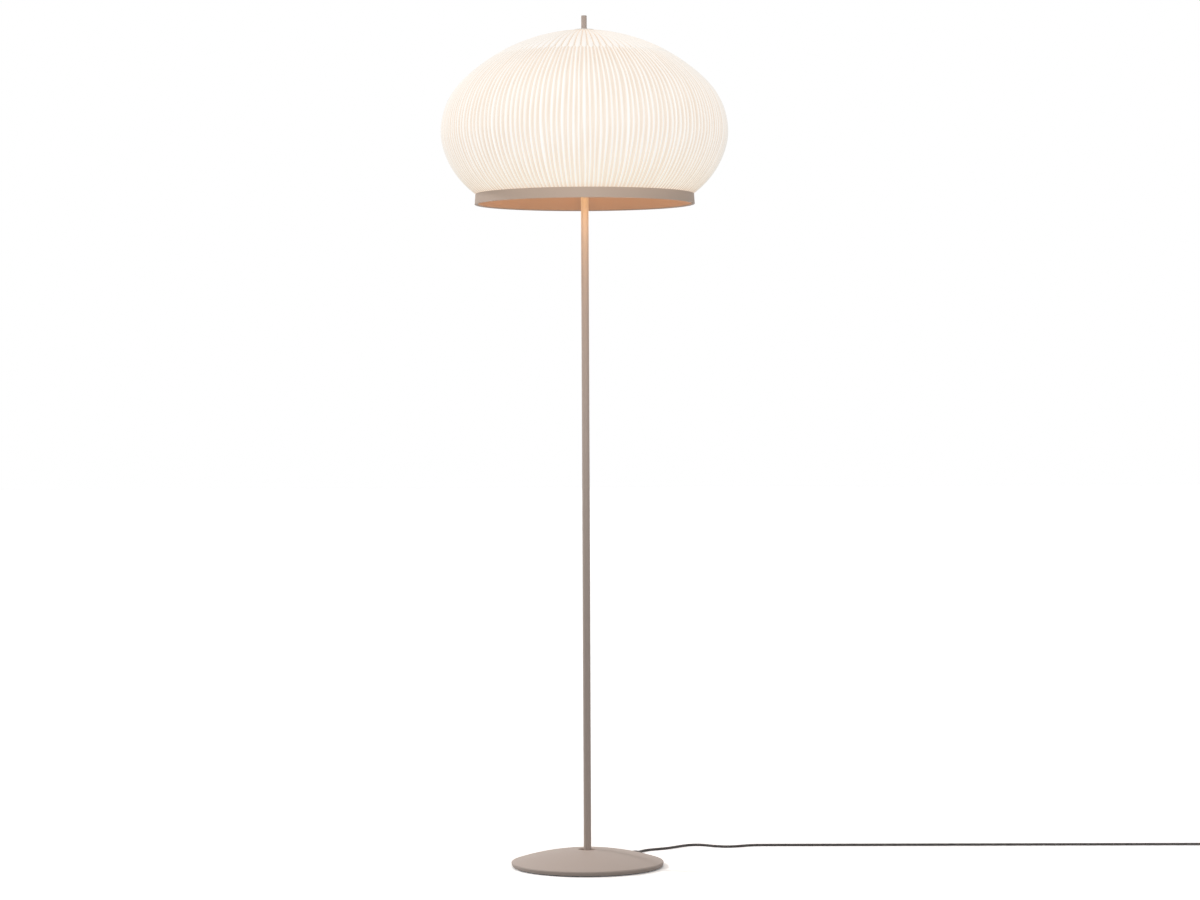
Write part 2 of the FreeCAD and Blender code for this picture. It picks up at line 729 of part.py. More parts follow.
def set_screw(label, length, height, azimuth, room):
    # A grub screw that bears on the stem, or with some room round it, its hole.
    screw = rod(label, "set_screw_radius + %s" % room, length)
    return place(screw, "stem_slide", "0", height, azimuth, OUTWARD)


spider_grip = "spider_hub_radius - stem_slide"
spider_grip_hole = set_screw("spider_grip_hole", spider_grip, "spider_grip_z", "30", "slip")
cut("ring_spider", spider_blank, spider_bore, spider_grip_hole, *spider_holes)
set_screw("spider_set_screw", spider_grip, "spider_grip_z", "30", "0")


def shade_wall(label, radius, mouth, rise, foot, hip, thickness):
    # A knitted layer: crown, shoulder, hip and hem arcs, then a straight hem that goes into the ring. The
    # arcs end a foot above the ring.
    share = "((1 - sin(shoulder_angle)) / cos(shoulder_angle))"
    shoulder = "((%s - %s * (%s + crown_offset)) / (1 - %s))" % (rise, share, radius, share)
    crown = "(%s + (%s + crown_offset - %s) / cos(shoulder_angle))" % (shoulder, radius, shoulder)
    # The hem arc leaves the hip's end along the same way and reaches the mouth.
    mouth_z = "ring_top + %s" % foot
    hem_r = "(%s - (%s) - %s * (1 - cos(hip_angle)))" % (radius, mouth, hip)
    hem_z = "(shade_drop - %s - %s * sin(hip_angle))" % (foot, hip)
    hem_chord = "sqrt(%s^2 + %s^2)" % (hem_r, hem_z)
    hem = "(%s^2 / (2 * (%s * cos(hip_angle) - %s * sin(hip_angle))))" % (hem_chord, hem_r, hem_z)
    hem_angle = "(hip_angle * 1 deg + 2 * asin(%s / (2 * %s)))" % (hem_chord, hem)

    def face(depth):
        # The corners of one face, set in by a depth: crown, shoulder, equator, hip and mouth.
        arcs = ["(%s - %s)" % (arc, depth) for arc in (crown, shoulder, hip, hem)]
        crown_in, shoulder_in, hip_in, hem_in = arcs
        crown_z = "equator_z + %s - %s + sqrt(%s^2 - crown_slope_r^2)" % (rise, crown, crown_in)
        shoulder_r = "%s - %s + %s * cos(shoulder_angle)" % (radius, shoulder, shoulder_in)
        hip_r = "%s - %s + %s * cos(hip_angle)" % (radius, hip, hip_in)
        mouth_r = "(%s) - %s * cos(%s)" % (mouth, depth, hem_angle)
        return [
            ("shade_hole", crown_z, crown_in),
            (shoulder_r, "equator_z + %s * sin(shoulder_angle)" % shoulder_in, shoulder_in),
            ("%s - %s" % (radius, depth), "equator_z", hip_in),
            (hip_r, "equator_z - %s * sin(hip_angle)" % hip_in, hem_in),
            (mouth_r, "%s + %s * sin(%s)" % (mouth_z, depth, hem_angle)),
        ]

    outer, inner = face("0"), face(thickness)
    outline = [(*corner, 1) for corner in outer[:-1]]
    outline += [outer[-1], (mouth, "ring_top - hem_depth")]
    outline += [("(%s) - %s" % (mouth, thickness), "ring_top - hem_depth")]
    outline += [("(%s) - %s" % (mouth, thickness), mouth_z)]
    inward = inner[::-1]
    for corner, after in zip(inward[:-1], inward[1:]):
        outline.append((corner[0], corner[1], after[2], -1))
    outline.append(inward[-1][:2])
    return turned(label, outline)


shade_wall("knit_shade", "shade_radius", "shade_mouth", "shade_rise", "0", "hip_radius", "knit_thickness")
shade_wall("knit_liner", "liner_radius", "liner_mouth", "liner_rise", "liner_foot", "liner_hip_radius",
           "liner_thickness")

# Light core on the stem: hexagonal heat sink, boards, chips, opal tube and its caps

core_blank = place(hexagon("core_blank", "core_across", "core_height"), height="core_bottom")
core_bore = place(rod("core_bore", "stem_slide", "core_height"), height="core_bottom")
cut("light_core", core_blank, core_bore, board_lead_hole)
boards, chips = [], []
chip_rows = int(value("core_height") // value("chip_pitch"))
for bearing in BOARD_AZIMUTHS:
    board = box("board_" + bearing, "board_thickness", "board_width", "core_height")
    boards.append(place(board, "core_across / 2", "-board_width / 2", "core_bottom", bearing))
    for row in range(chip_rows):
        chip = box("chip_%s_%d" % (bearing, row), "chip_height", "chip_size", "chip_size")
        chips.append(place(chip, "core_across / 2 + board_thickness", "-chip_size / 2",
                           "core_bottom + chip_pitch * %d + chip_pitch / 2" % row, bearing))
group("led_boards", *boards)
group("led_chips", *chips)
place(rod("board_lead", "board_lead / 2", "core_across / 2 - lead_diameter / 2"),
      "lead_diameter / 2", "0", "board_lead_z", BOARD_AZIMUTHS[0], OUTWARD)
tube_ring("opal_tube", "tube_radius - tube_wall", "tube_radius", "tube_bottom", "tube_top")
cap_grip = "tube_radius - stem_slide"


def tube_end(label, face, seat, end, grip_z):
    # A cap whose inner face carries the core and whose step carries the tube.
    step_r = "tube_radius - tube_wall - fit"
    blank = turned(label + "_blank", [
        ("stem_slide", face),
        (step_r, face),
        (step_r, seat),
        ("tube_radius", seat),
        ("tube_radius", end),
        ("stem_slide", end),
    ])
    return cut(label, blank, set_screw(label + "_grip_hole", cap_grip, grip_z, "0", "slip"))


tube_end("lower_tube_cap", "core_bottom", "core_bottom - tube_seat", "tube_cap_bottom", "lower_grip_z")
tube_end("upper_tube_cap", "core_top", "core_top + tube_seat", "tube_cap_top", "upper_grip_z")
group("tube_cap_screws", *[set_screw("cap_screw_%d" % number, cap_grip, level, "0", "0")
                           for number, level in enumerate(("lower_grip_z", "upper_grip_z"))])

# Crown: hub on the stem, cap, push-button rod, spring and dimmer switch

hub_blank = turned("hub_blank", [
    ("stem_slide", "hub_bottom"),
    ("hub_radius", "hub_bottom"),
    ("hub_radius", "hub_flange_top - hub_flange_thickness"),
    ("hub_flange", "hub_flange_top - hub_flange_thickness"),
    ("hub_flange", "hub_flange_top"),
    ("hub_neck", "hub_flange_top"),
    ("hub_neck", "hub_top"),
    ("button_radius + button_slip", "hub_top"),
    ("button_radius + button_slip", "hub_ledge"),
    ("stem_slide", "hub_ledge"),
])
hub_grip = "hub_radius - stem_slide"
HUB_SCREWS = ("0", "180")
cut("crown_hub", hub_blank, *[set_screw("hub_grip_hole_" + bearing, hub_grip, "hub_grip_z", bearing, "slip")
                              for bearing in HUB_SCREWS])
group("hub_set_screws", *[set_screw("hub_set_screw_" + bearing, hub_grip, "hub_grip_z", bearing, "0")
                          for bearing in HUB_SCREWS])
tube_ring("crown_cap", "hub_neck + slip", "hub_flange", "crown_edge_z", "hub_top")
turned("dimmer_button", [
    ("0", "button_flange_bottom"),
    ("button_flange", "button_flange_bottom"),
    ("button_flange", "button_flange_top"),
    ("button_radius", "button_flange_top"),
    ("button_radius", "button_top - button_chamfer"),
    ("button_radius - button_chamfer", "button_top"),
    ("0", "button_top"),
])
turned("dimmer_switch", [
    ("0", "stem_top - switch_length"),
    ("switch_body", "stem_top - switch_length"),
    ("switch_body", "stem_top"),
    ("stem_radius", "stem_top"),
    ("stem_radius", "switch_seat"),
    ("plunger_radius", "switch_seat"),
    ("plunger_radius", "plunger_top"),
    ("0", "plunger_top"),
])


def spring_point(turn):
    angle = 2 * math.pi * turn
    low, high = value("spring_bottom"), value("spring_top")
    return Vector(value("spring_radius") * math.cos(angle), value("spring_radius") * math.sin(angle),
                  low + (high - low) * turn / value("spring_turns"))


spring_wire = Part.Wire(wound_path(spring_point, value("spring_turns"))[0])
round_tube("button_spring", spring_wire, value("spring_wire / 2"))
least_gap("button_spring", spring_wire, value("spring_wire / 2"), value("spring_turns"))

# Power cord: from the strain relief over the floor and straight on to the coil

cord_radius = value("cord_radius")
bearing = math.radians(value("cord_azimuth"))
cord_way = Vector(math.cos(bearing), math.sin(bearing), 0)
cord_start = cord_way * value("cord_start_r") + UP * value("cord_height")
CORD_ROUTE = [
    (104.5, 179.5, 6.2),
    (109.5, 194.5, 4.2),
    (117.5, 208.5, 2.8),
    (130.0, 220.5, 2.6),
    (147.0, 229.5, 2.6),
    (165.0, 241.0, 2.6),
    (180.0, 257.0, 2.6),
    (194.0, 273.0, 2.6),
    (208.0, 285.5, 2.6),
    (224.0, 291.5, 2.6),
    (240.0, 288.0, 2.6),
    (255.0, 276.0, 2.6),
    (270.0, 265.5, 2.6),
    (288.0, 260.5, 2.6),
    (305.0, 263.0, 2.6),
    (321.0, 272.2, 2.6),
    (338.0, 280.5, 2.6),
    (358.0, 283.5, 2.6),
    (1337.0, 261.0, 3.6),
]
route = [cord_start, cord_start + cord_way * value("cord_exit_run")]
route += [Vector(*point) for point in CORD_ROUTE]
cord_wire = rounded_path("power_cord", route)
round_tube("power_cord", cord_wire, cord_radius)

# Spare length, wound in on the floor and out again on top

coil_start = route[-1]
heading = (route[-1] - route[-2]).normalize()
turns_in, turns_out = value("coil_turns_in"), value("coil_turns_out")
inward_lean = math.atan(value("coil_pitch") / (2 * math.pi) / value("coil_outer"))
start_angle = math.atan2(heading.y, heading.x) - math.pi / 2 - inward_lean
lead_in = heading * value("cord_diameter")
outer_reach = Vector(math.cos(start_angle), math.sin(start_angle), 0) * value("coil_outer")
coil_centre = coil_start + lead_in - outer_reach
CLIMB_TURNS = 0.5


def coil_point(turn):
    angle = start_angle + 2 * math.pi * turn
    past = turn - turns_in
    radius = value("coil_core") + value("coil_pitch") * abs(past)
    climb = min(max(past / CLIMB_TURNS + 0.5, 0), 1)
    rise = value("coil_pitch") * climb * climb * (3 - 2 * climb)
    return coil_centre + Vector(math.cos(angle), math.sin(angle), 0) * radius + UP * rise


coil_edges, coil_points, coil_ways = wound_path(coil_point, turns_in + turns_out)
coil_end, plug_way = coil_points[-1], coil_ways[-1]
plug_start = coil_end + plug_way * value("coil_tail")
coil_edges.insert(0, Part.LineSegment(coil_start, coil_points[0]).toShape())
coil_edges.append(Part.LineSegment(coil_end, plug_start).toShape())
coil_wire = Part.Wire(coil_edges)
round_tube("cord_coil", coil_wire, cord_radius)
least_gap("cord_coil", coil_wire, cord_radius, turns_in + turns_out)

# Tie round the coil's far side

TIE_BEARING = 90


def tie_frame(label, room):
    # A block through the coil's section, grown by some room on every side but across.
    margin = "(cord_radius + tie_gap + %s)" % room
    reach = "coil_outer - coil_core + 2 * " + margin
    frame = box(label, reach, "tie_width", "coil_pitch + 2 * " + margin)
    corner = Vector(value("coil_core - " + margin), -value("tie_width / 2"), -value(margin))
    turn = FreeCAD.Placement(coil_centre, FreeCAD.Rotation(UP, TIE_BEARING))
    frame.Placement = turn.multiply(FreeCAD.Placement(corner, FreeCAD.Rotation()))
    return frame


cut("cord_tie", tie_frame("tie_outside", "tie_thickness"), tie_frame("tie_inside", "0"))

# Plug on the coil's end, lying on the floor

plug_turn = FreeCAD.Rotation(UP, math.degrees(math.atan2(plug_way.y, plug_way.x)))
plug_frame = FreeCAD.Placement(plug_start + plug_way * value("slip"), plug_turn)
plug_depth = 2 * (plug_start.z - value("fit"))


def on_plug(item, along, across, height, turn=FreeCAD.Rotation()):
    item.Placement = plug_frame.multiply(FreeCAD.Placement(Vector(along, across, height), turn))
    return item


plug_neck = on_plug(cone("plug_neck", "plug_neck_tip", "plug_neck_root", "plug_neck"), 0, 0, 0, OUTWARD)
plug_box = box("plug_box", "plug_length", "plug_width", str(plug_depth))
on_plug(plug_box, value("plug_neck"), -value("plug_width") / 2, -plug_depth / 2)
doc.recompute()
plug_soft = doc.addObject("Part::Fillet", "plug_soft")
plug_soft.Base = plug_box
plug_soft.Edges = [(number, value("plug_round"), value("plug_round"))
                   for number, edge in enumerate(plug_box.Shape.Edges, start=1)
                   if abs(edge.tangentAt(edge.FirstParameter).dot(plug_way)) > 0.9]
fuse("plug_body", plug_neck, plug_soft)
pins = []
for number, side in enumerate((-1, 1)):
    pin = rod("pin_%d" % number, "pin_radius", "pin_length")
    pins.append(on_plug(pin, value("plug_neck + plug_length"), side * value("pin_spacing") / 2, 0, OUTWARD))
group("plug_pins", *pins)

doc.recompute()
for item in doc.Objects:
    if "Invalid" in item.State or "Error" in item.State:
        raise RuntimeError("%s failed: %s" % (item.Label, item.State))

nodes = [item for item in doc.RootObjects if hasattr(item, "Shape") and not item.Shape.isNull()]
for item in nodes:
    if not item.Shape.Solids or not item.Shape.isValid():
        raise RuntimeError("%s has no valid solid" % item.Label)

os.makedirs("parts", exist_ok=True)
for item in nodes:
    item.Shape.exportStep("parts/%s.step" % item.Label)
print("cord length", round(cord_wire.Length + coil_wire.Length), "nodes", len(nodes))
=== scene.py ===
import json
import math
import bmesh
import bpy
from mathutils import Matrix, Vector


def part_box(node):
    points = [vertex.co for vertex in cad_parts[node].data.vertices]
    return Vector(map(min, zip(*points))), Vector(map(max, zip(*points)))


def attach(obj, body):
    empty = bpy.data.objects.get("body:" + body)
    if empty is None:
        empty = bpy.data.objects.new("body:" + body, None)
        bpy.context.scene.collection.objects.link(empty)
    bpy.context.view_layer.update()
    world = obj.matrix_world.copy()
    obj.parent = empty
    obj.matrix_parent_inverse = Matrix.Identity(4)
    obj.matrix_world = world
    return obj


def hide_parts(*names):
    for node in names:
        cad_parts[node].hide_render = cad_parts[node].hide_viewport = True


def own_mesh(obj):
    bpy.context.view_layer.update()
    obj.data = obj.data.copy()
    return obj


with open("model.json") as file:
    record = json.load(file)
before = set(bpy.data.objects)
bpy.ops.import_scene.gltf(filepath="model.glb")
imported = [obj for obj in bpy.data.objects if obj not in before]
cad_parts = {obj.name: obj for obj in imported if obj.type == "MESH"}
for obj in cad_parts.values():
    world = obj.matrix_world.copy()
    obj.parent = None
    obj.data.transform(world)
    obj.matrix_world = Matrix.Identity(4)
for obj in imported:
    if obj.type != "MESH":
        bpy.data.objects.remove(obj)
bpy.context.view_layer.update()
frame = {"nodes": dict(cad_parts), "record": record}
nodes = frame["nodes"]
scene = bpy.context.scene
scene.view_settings.view_transform = "Standard"
fullTurn = 2 * math.pi
upward = Vector((0, 0, 1))
print("frame loaded:", len(nodes), "nodes")


# Small helpers for node trees: most hand back the wire that the next node takes

class Wire:
    # a node's output that can be reckoned with: each sign adds a Math node
    def __init__(self, tree, socket):
        self.tree = tree
        self.socket = socket

    def __add__(self, other):
        return calc("ADD", self, other)

    def __sub__(self, other):
        return calc("SUBTRACT", self, other)

    def __rsub__(self, other):
        return calc("SUBTRACT", other, self)

    def __mul__(self, other):
        return calc("MULTIPLY", self, other)

    def __truediv__(self, other):
        return calc("DIVIDE", self, other)

    def __abs__(self):
        return calc("ABSOLUTE", self)


def wires(tree, node):
    return {socket.name: Wire(tree, socket) for socket in node.outputs}


def treeOf(*terms):
    # any wire among the terms knows its tree
    return [term.tree for term in terms if isinstance(term, Wire)][0]


def fill(node, terms):
    # the inputs, by name or number, take a wire or a plain value
    for key, term in terms.items():
        if isinstance(term, Wire):
            term.tree.links.new(term.socket, node.inputs[key])
        else:
            node.inputs[key].default_value = term


def addNode(tree, kind, terms=None, **settings):
    node = tree.nodes.new(kind)
    for name, value in settings.items():
        setattr(node, name, value)
    fill(node, terms or {})
    return node


def wired(tree, kind, terms=None, output=0, **settings):
    # a node of which one output is used
    return Wire(tree, addNode(tree, kind, terms, **settings).outputs[output])


def calc(operation, *terms, clamp=False):
    settings = {"operation": operation, "use_clamp": clamp}
    return wired(treeOf(*terms), "ShaderNodeMath", dict(enumerate(terms)), **settings)


def ease(value, low, high, bottom=0.0, top=1.0):
    # smooth step from bottom to top while the value goes from low to high
    terms = {"Value": value, "From Min": low, "From Max": high, "To Min": bottom, "To Max": top}
    return wired(value.tree, "ShaderNodeMapRange", terms, interpolation_type="SMOOTHSTEP")


def zigzag(value):
    # up to a half and back to 0 over each whole step
    return calc("PINGPONG", value, 0.5)


def mixColor(factor, first, second, blend="MIX"):
    terms = {0: factor, 6: first, 7: second}
    return wired(factor.tree, "ShaderNodeMix", terms, 2, data_type="RGBA", blend_type=blend)


def joined(x, y, z=0.0):
    return wired(treeOf(x, y, z), "ShaderNodeCombineXYZ", {0: x, 1: y, 2: z})


def parted(vector):
    node = addNode(vector.tree, "ShaderNodeSeparateXYZ", {0: vector})
    return [Wire(vector.tree, socket) for socket in node.outputs]


def scaled(vector, factor):
    return wired(vector.tree, "ShaderNodeVectorMath", {0: vector, "Scale": factor}, operation="SCALE")


def noiseOf(vector, scale, detail=2.0, roughness=0.5):
    terms = {"Vector": vector, "Scale": scale, "Detail": detail, "Roughness": roughness}
    return wired(vector.tree, "ShaderNodeTexNoise", terms)


def chanceOf(first, second):
    # a random number, always the same for the same two values
    spot = joined(first, second)
    return wired(spot.tree, "ShaderNodeTexWhiteNoise", {"Vector": spot}, noise_dimensions="2D")


def uvPlace(tree):
    return parted(wired(tree, "ShaderNodeUVMap", uv_map="UVMap"))


def newTree(name, kind, inputs, outputs):
    # a node group with named sockets, the wires of its inputs and the node that takes its outputs
    tree = bpy.data.node_groups.new(name, kind)
    for direction, sockets in (("INPUT", inputs), ("OUTPUT", outputs)):
        for title, sort in sockets.items():
            tree.interface.new_socket(title, in_out=direction, socket_type="NodeSocket" + sort)
    return tree, wires(tree, addNode(tree, "NodeGroupInput")), addNode(tree, "NodeGroupOutput")


def dressed(geometry, finish):
    # each tree for a piece ends in plain geometry with its material
    real = wired(geometry.tree, "GeometryNodeRealizeInstances", {0: geometry})
    return wired(geometry.tree, "GeometryNodeSetMaterial", {"Geometry": real, "Material": finish})


# Small helpers for colours, curves and meshes

def rgba(red, green, blue):
    return (red, green, blue, 1.0)


def fromScreen(red, green, blue):
    # a colour as seen on screen, 0 to 255, in linear light
    def linear(level):
        level = level / 255
        return level / 12.92 if level <= 0.04045 else ((level + 0.055) / 1.055) ** 2.4
    return rgba(linear(red), linear(green), linear(blue))


def shareOf(value, low, high):
    # 0 up to low, 1 from high on
    return min(max((value - low) / (high - low), 0), 1)


def smoothStep(value, low, high):
    share = shareOf(value, low, high)
    return share * share * (3 - 2 * share)


def waves(share, count, sharpness=1):
    # 0 between the waves and at both ends, 1 on the crests
    return (0.5 - 0.5 * math.cos(fullTurn * count * share)) ** sharpness


def roundedEnd(reach, end, radius):
    # how far a rounded edge has drawn in at a reach, all of its radius at the end
    past = max((reach - end) / radius + 1, 0)
    return radius * (1 - math.sqrt(max(1 - past * past, 0)))


def flatWay(angle):
    return Vector((math.cos(angle), math.sin(angle), 0))


def turnsOf(sides):
    return [fullTurn * step / sides for step in range(sides)]


def objectFrom(name, data, material=None):
    item = bpy.data.objects.new(name, data)
    scene.collection.objects.link(item)
    if material:
        data.materials.clear()
        data.materials.append(material)
    return item


def plainMesh(item):
    # the evaluated result as a mesh of its own
    depsgraph = bpy.context.evaluated_depsgraph_get()
    return bpy.data.meshes.new_from_object(item.evaluated_get(depsgraph), depsgraph=depsgraph)


def band(build, first, second, smooth=True):
    # faces between two rings with as many points
    faces = []
    for step in range(len(first)):
        after = (step + 1) % len(first)
        face = build.faces.new((first[step], first[after], second[after], second[step]))
        face.smooth = smooth
        faces.append(face)
    return faces


def meshFrom(name, build, crease):
    # faces point outwards, and edges bent by more than the crease stay sharp
    bmesh.ops.recalc_face_normals(build, faces=build.faces)
    mesh = bpy.data.meshes.new(name)
    build.to_mesh(mesh)
    build.free()
    mesh.set_sharp_from_angle(angle=math.radians(crease))
    return mesh


def skinOver(name, bodies, girth=1.0, crease=50.0):
    # smooth closed skins over rows of rings; U is the way along in metres, V the way round up to the girth
    build = bmesh.new()
    uv = build.loops.layers.uv.new("UVMap")
    for rings in bodies:
        middles = [sum(ring, Vector()) / len(ring) for ring in rings]
        skin = [[build.verts.new(point) for point in ring] for ring in rings]
        sides = len(rings[0])
        reach = 0.0
        for index in range(len(rings) - 1):
            onward = reach + (middles[index + 1] - middles[index]).length
            for step, face in enumerate(band(build, skin[index], skin[index + 1])):
                places = ((reach, step), (reach, step + 1), (onward, step + 1), (onward, step))
                for loop, (along, around) in zip(face.loops, places):
                    loop[uv].uv = (along, girth * around / sides)
            reach = onward
        build.faces.new(skin[0][::-1])
        build.faces.new(skin[-1])
    return meshFrom(name, build, crease)


def ringsAlong(line, radii, sides):
    # round rings on a line, one radius for each of its points, without twist
    last = len(line) - 1
    ways = [(line[min(i + 1, last)] - line[max(i - 1, 0)]).normalized() for i in range(len(line))]
    side = ways[0].cross(upward).normalized()
    turns = turnsOf(sides)
    rings = []
    for point, way, radius in zip(line, ways, radii):
        side = (side - way * side.dot(way)).normalized()
        lift = way.cross(side)
        rings.append([point + (side * math.cos(turn) + lift * math.sin(turn)) * radius for turn in turns])
    return rings


def mount(item, slot, *replaced):
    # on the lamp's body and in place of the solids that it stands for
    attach(item, "lamp")
    if replaced:
        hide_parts(*replaced)
    return item


def addPiece(name, mesh, slot, *replaced, material=None):
    return mount(objectFrom(name, mesh, material or finishes[slot]), slot, *replaced)


# Camera at the photo's place, looking level along +Y with a slight roll

photo = {"width": 1200, "height": 900, "axisColumn": 585.6, "horizonRow": 408.0, "focalPixels": 3205.4}
viewpoint = {"distance": 6.3788, "height": 0.9122, "roll": 0.0043, "sensor": 36.0}


def makeCamera():
    data = bpy.data.cameras.new("camera")
    data.sensor_width = viewpoint["sensor"]
    data.lens = viewpoint["sensor"] * photo["focalPixels"] / photo["width"]
    data.shift_x = (photo["width"] / 2 - photo["axisColumn"]) / photo["width"]
    data.shift_y = (photo["horizonRow"] - photo["height"] / 2) / photo["width"]
    camera = objectFrom("camera", data)
    camera.location = (0, -viewpoint["distance"], viewpoint["height"])
    camera.rotation_euler = (math.pi / 2, viewpoint["roll"], 0)
    scene.camera = camera


makeCamera()
print("camera placed")


# Shared effect: fine grain of a coated or moulded surface, and slow cloudiness

coatGrain = {"grainDetail": 3.0, "grainRoughness": 0.6, "cloudDetail": 4.0, "cloudRoughness": 0.55,
             "roughSwing": 1.5}


def makeGrainGroup():
    inputs = {"Color": "Color", "Grain Scale": "Float", "Grain": "Float", "Cloud Scale": "Float",
              "Cloud": "Float", "Roughness": "Float"}
    outputs = {"Color": "Color", "Roughness": "Float", "Height": "Float"}
    tree, given, made = newTree("coatGrain", "ShaderNodeTree", inputs, outputs)
    place = wired(tree, "ShaderNodeTexCoord", output="Object")
    grain = noiseOf(place, given["Grain Scale"], coatGrain["grainDetail"], coatGrain["grainRoughness"])
    cloud = noiseOf(place, given["Cloud Scale"], coatGrain["cloudDetail"], coatGrain["cloudRoughness"])
    grainSwing = (grain - 0.5) * given["Grain"]
    cloudSwing = (cloud - 0.5) * given["Cloud"]
    rough = calc("ADD", given["Roughness"], cloudSwing * coatGrain["roughSwing"], clamp=True)
    fill(made, {"Color": scaled(given["Color"], grainSwing + cloudSwing + 1.0), "Roughness": rough,
                "Height": grain})
    return tree


grainGroup = makeGrainGroup()


def newMaterial(name):
    material = bpy.data.materials.new(name)
    material.use_nodes = True
    tree = material.node_tree
    shader = [node for node in tree.nodes if node.type == "BSDF_PRINCIPLED"][0]
    return material, tree, shader


def bumped(height, strength, depth):
    return wired(height.tree, "ShaderNodeBump", {"Strength": strength, "Distance": depth, "Height": height})


def grainedMaterial(name, color, roughness=0.5, metallic=0.0, grainScale=900.0, grain=0.1, cloudScale=14.0,
                    cloud=0.06, bump=0.2, bumpDepth=0.0002, glow=None, glowLevel=0.0):
    material, tree, shader = newMaterial(name)
    terms = {"Color": color, "Grain Scale": grainScale, "Grain": grain, "Cloud Scale": cloudScale,
             "Cloud": cloud, "Roughness": roughness}
    coat = wires(tree, addNode(tree, "ShaderNodeGroup", terms, node_tree=grainGroup))
    fill(shader, {"Base Color": coat["Color"], "Roughness": coat["Roughness"], "Metallic": metallic,
                  "Normal": bumped(coat["Height"], bump, bumpDepth)})
    if glow:
        fill(shader, {"Emission Color": glow, "Emission Strength": glowLevel})
    return material


def fabric(shader, color, height, settings):
    # what the braid, the strap and the knit have in common
    fill(shader, {"Base Color": color, "Roughness": settings["roughness"], "Sheen Weight": settings["sheen"],
                  "Normal": bumped(height, settings["bump"], settings["bumpDepth"])})


def threadPlace(tree, thread):
    # the way along and across a piece, counted in threads
    along, across, unused = uvPlace(tree)
    return along / thread, across / thread


# Plain finishes, one for each colour slot; the ring's paint goes by its node and is a lighter, warmer copy of
# the powder coat: painted light for the light that falls on the ring

powder = dict(roughness=0.62, grainScale=1400.0, cloudScale=7.0, cloud=0.05, bump=0.25, bumpDepth=0.00025)
coats = {
    "warm_grey_paint": dict(powder, name="powderCoat", color=fromScreen(193, 178, 169)),
    # painted light: the ring's paint is the powder coat made lighter and warmer, for the glow and front light
    # on the band
    "shade_ring": dict(powder, name="ringPaintWithPaintedLight", color=fromScreen(204, 184, 169)),
    "grey_plastic": dict(name="cordEndPlastic", color=rgba(0.075, 0.071, 0.070), roughness=0.55,
                         grainScale=1600.0, bump=0.3),
    "pad_rubber": dict(name="padRubber", color=rgba(0.05, 0.048, 0.046), roughness=0.85,
                       grainScale=700.0, grain=0.25, bump=0.6),
    "ballast_iron": dict(name="castIron", color=rgba(0.10, 0.10, 0.105), roughness=0.75, metallic=0.6,
                         grainScale=260.0, grain=0.4, cloud=0.3, bump=0.9, bumpDepth=0.0008),
    "zinc_steel": dict(name="zincPlate", color=rgba(0.60, 0.60, 0.61), roughness=0.34, metallic=1.0,
                       grainScale=420.0, grain=0.12, cloudScale=60.0, cloud=0.2, bump=0.08),
    "white_paint": dict(name="spiderPaint", color=rgba(0.80, 0.79, 0.76), roughness=0.55, grainScale=1400.0),
    "cast_aluminium": dict(name="turnedAluminium", color=rgba(0.72, 0.72, 0.73), roughness=0.36, metallic=1.0,
                           grainScale=600.0, cloudScale=40.0, cloud=0.15, bump=0.1),
    "white_plastic": dict(name="whitePlastic", color=rgba(0.80, 0.80, 0.77), roughness=0.45,
                          grainScale=1800.0, bump=0.15),
    "board_white": dict(name="boardMask", color=rgba(0.82, 0.82, 0.80), roughness=0.35,
                        grainScale=2200.0, bump=0.1),
    "grey_cord": dict(name="leadBraid", color=rgba(0.11, 0.10, 0.10), roughness=0.9, grain=0.4, bump=0.6),
    "black_plastic": dict(name="blackPlastic", color=rgba(0.03, 0.03, 0.031), grainScale=1600.0),
    "foam_tape": dict(name="foamTape", color=rgba(0.22, 0.22, 0.22), roughness=0.95,
                      grainScale=1200.0, grain=0.4, bump=0.8),
    "lead_sheath": dict(name="leadSheath", color=rgba(0.62, 0.62, 0.60), grainScale=1500.0, bump=0.1),
    "pin_metal": dict(name="pinPlate", color=rgba(0.72, 0.71, 0.68), roughness=0.25, metallic=1.0,
                      cloudScale=90.0, cloud=0.12, bump=0.05),
    "opal_acrylic": dict(name="opalAcrylic", color=rgba(0.86, 0.82, 0.74), roughness=0.4, bump=0.05,
                         glow=rgba(1.0, 0.80, 0.55), glowLevel=1.6),
    "led_phosphor": dict(name="ledPhosphor", color=rgba(0.9, 0.62, 0.18), roughness=0.3,
                         glow=rgba(1.0, 0.85, 0.60), glowLevel=4.0),
}
finishes = {slot: grainedMaterial(**settings) for slot, settings in coats.items()}
print("plain finishes made:", len(finishes))


# Power cord: one smooth line over the floor, wound up at its far end, with a braided sleeve

cord = {
    "diameter": 0.005, "length": 2.455, "sides": 16, "steps": 3,
    "route": [
        (0.09044, 0.15052, 0.0074), (0.09765, 0.16252, 0.0070), (0.1030, 0.1760, 0.0038),
        (0.1092, 0.1935, 0.0026), (0.1175, 0.2085, 0.0026), (0.1300, 0.2205, 0.0026),
        (0.1470, 0.2295, 0.0026), (0.1650, 0.2410, 0.0026), (0.1800, 0.2570, 0.0026),
        (0.1940, 0.2730, 0.0026), (0.2080, 0.2855, 0.0026), (0.2240, 0.2915, 0.0026),
        (0.2400, 0.2880, 0.0026), (0.2550, 0.2760, 0.0026), (0.2700, 0.2655, 0.0026),
        (0.2880, 0.2605, 0.0026), (0.3050, 0.2630, 0.0026), (0.3210, 0.2722, 0.0026),
        (0.3380, 0.2805, 0.0026), (0.3580, 0.2835, 0.0026), (1.3370, 0.2610, 0.0036),
    ],
    "easeOff": 0.020,          # one more point on the straight stretch, this far from each of its ends
}
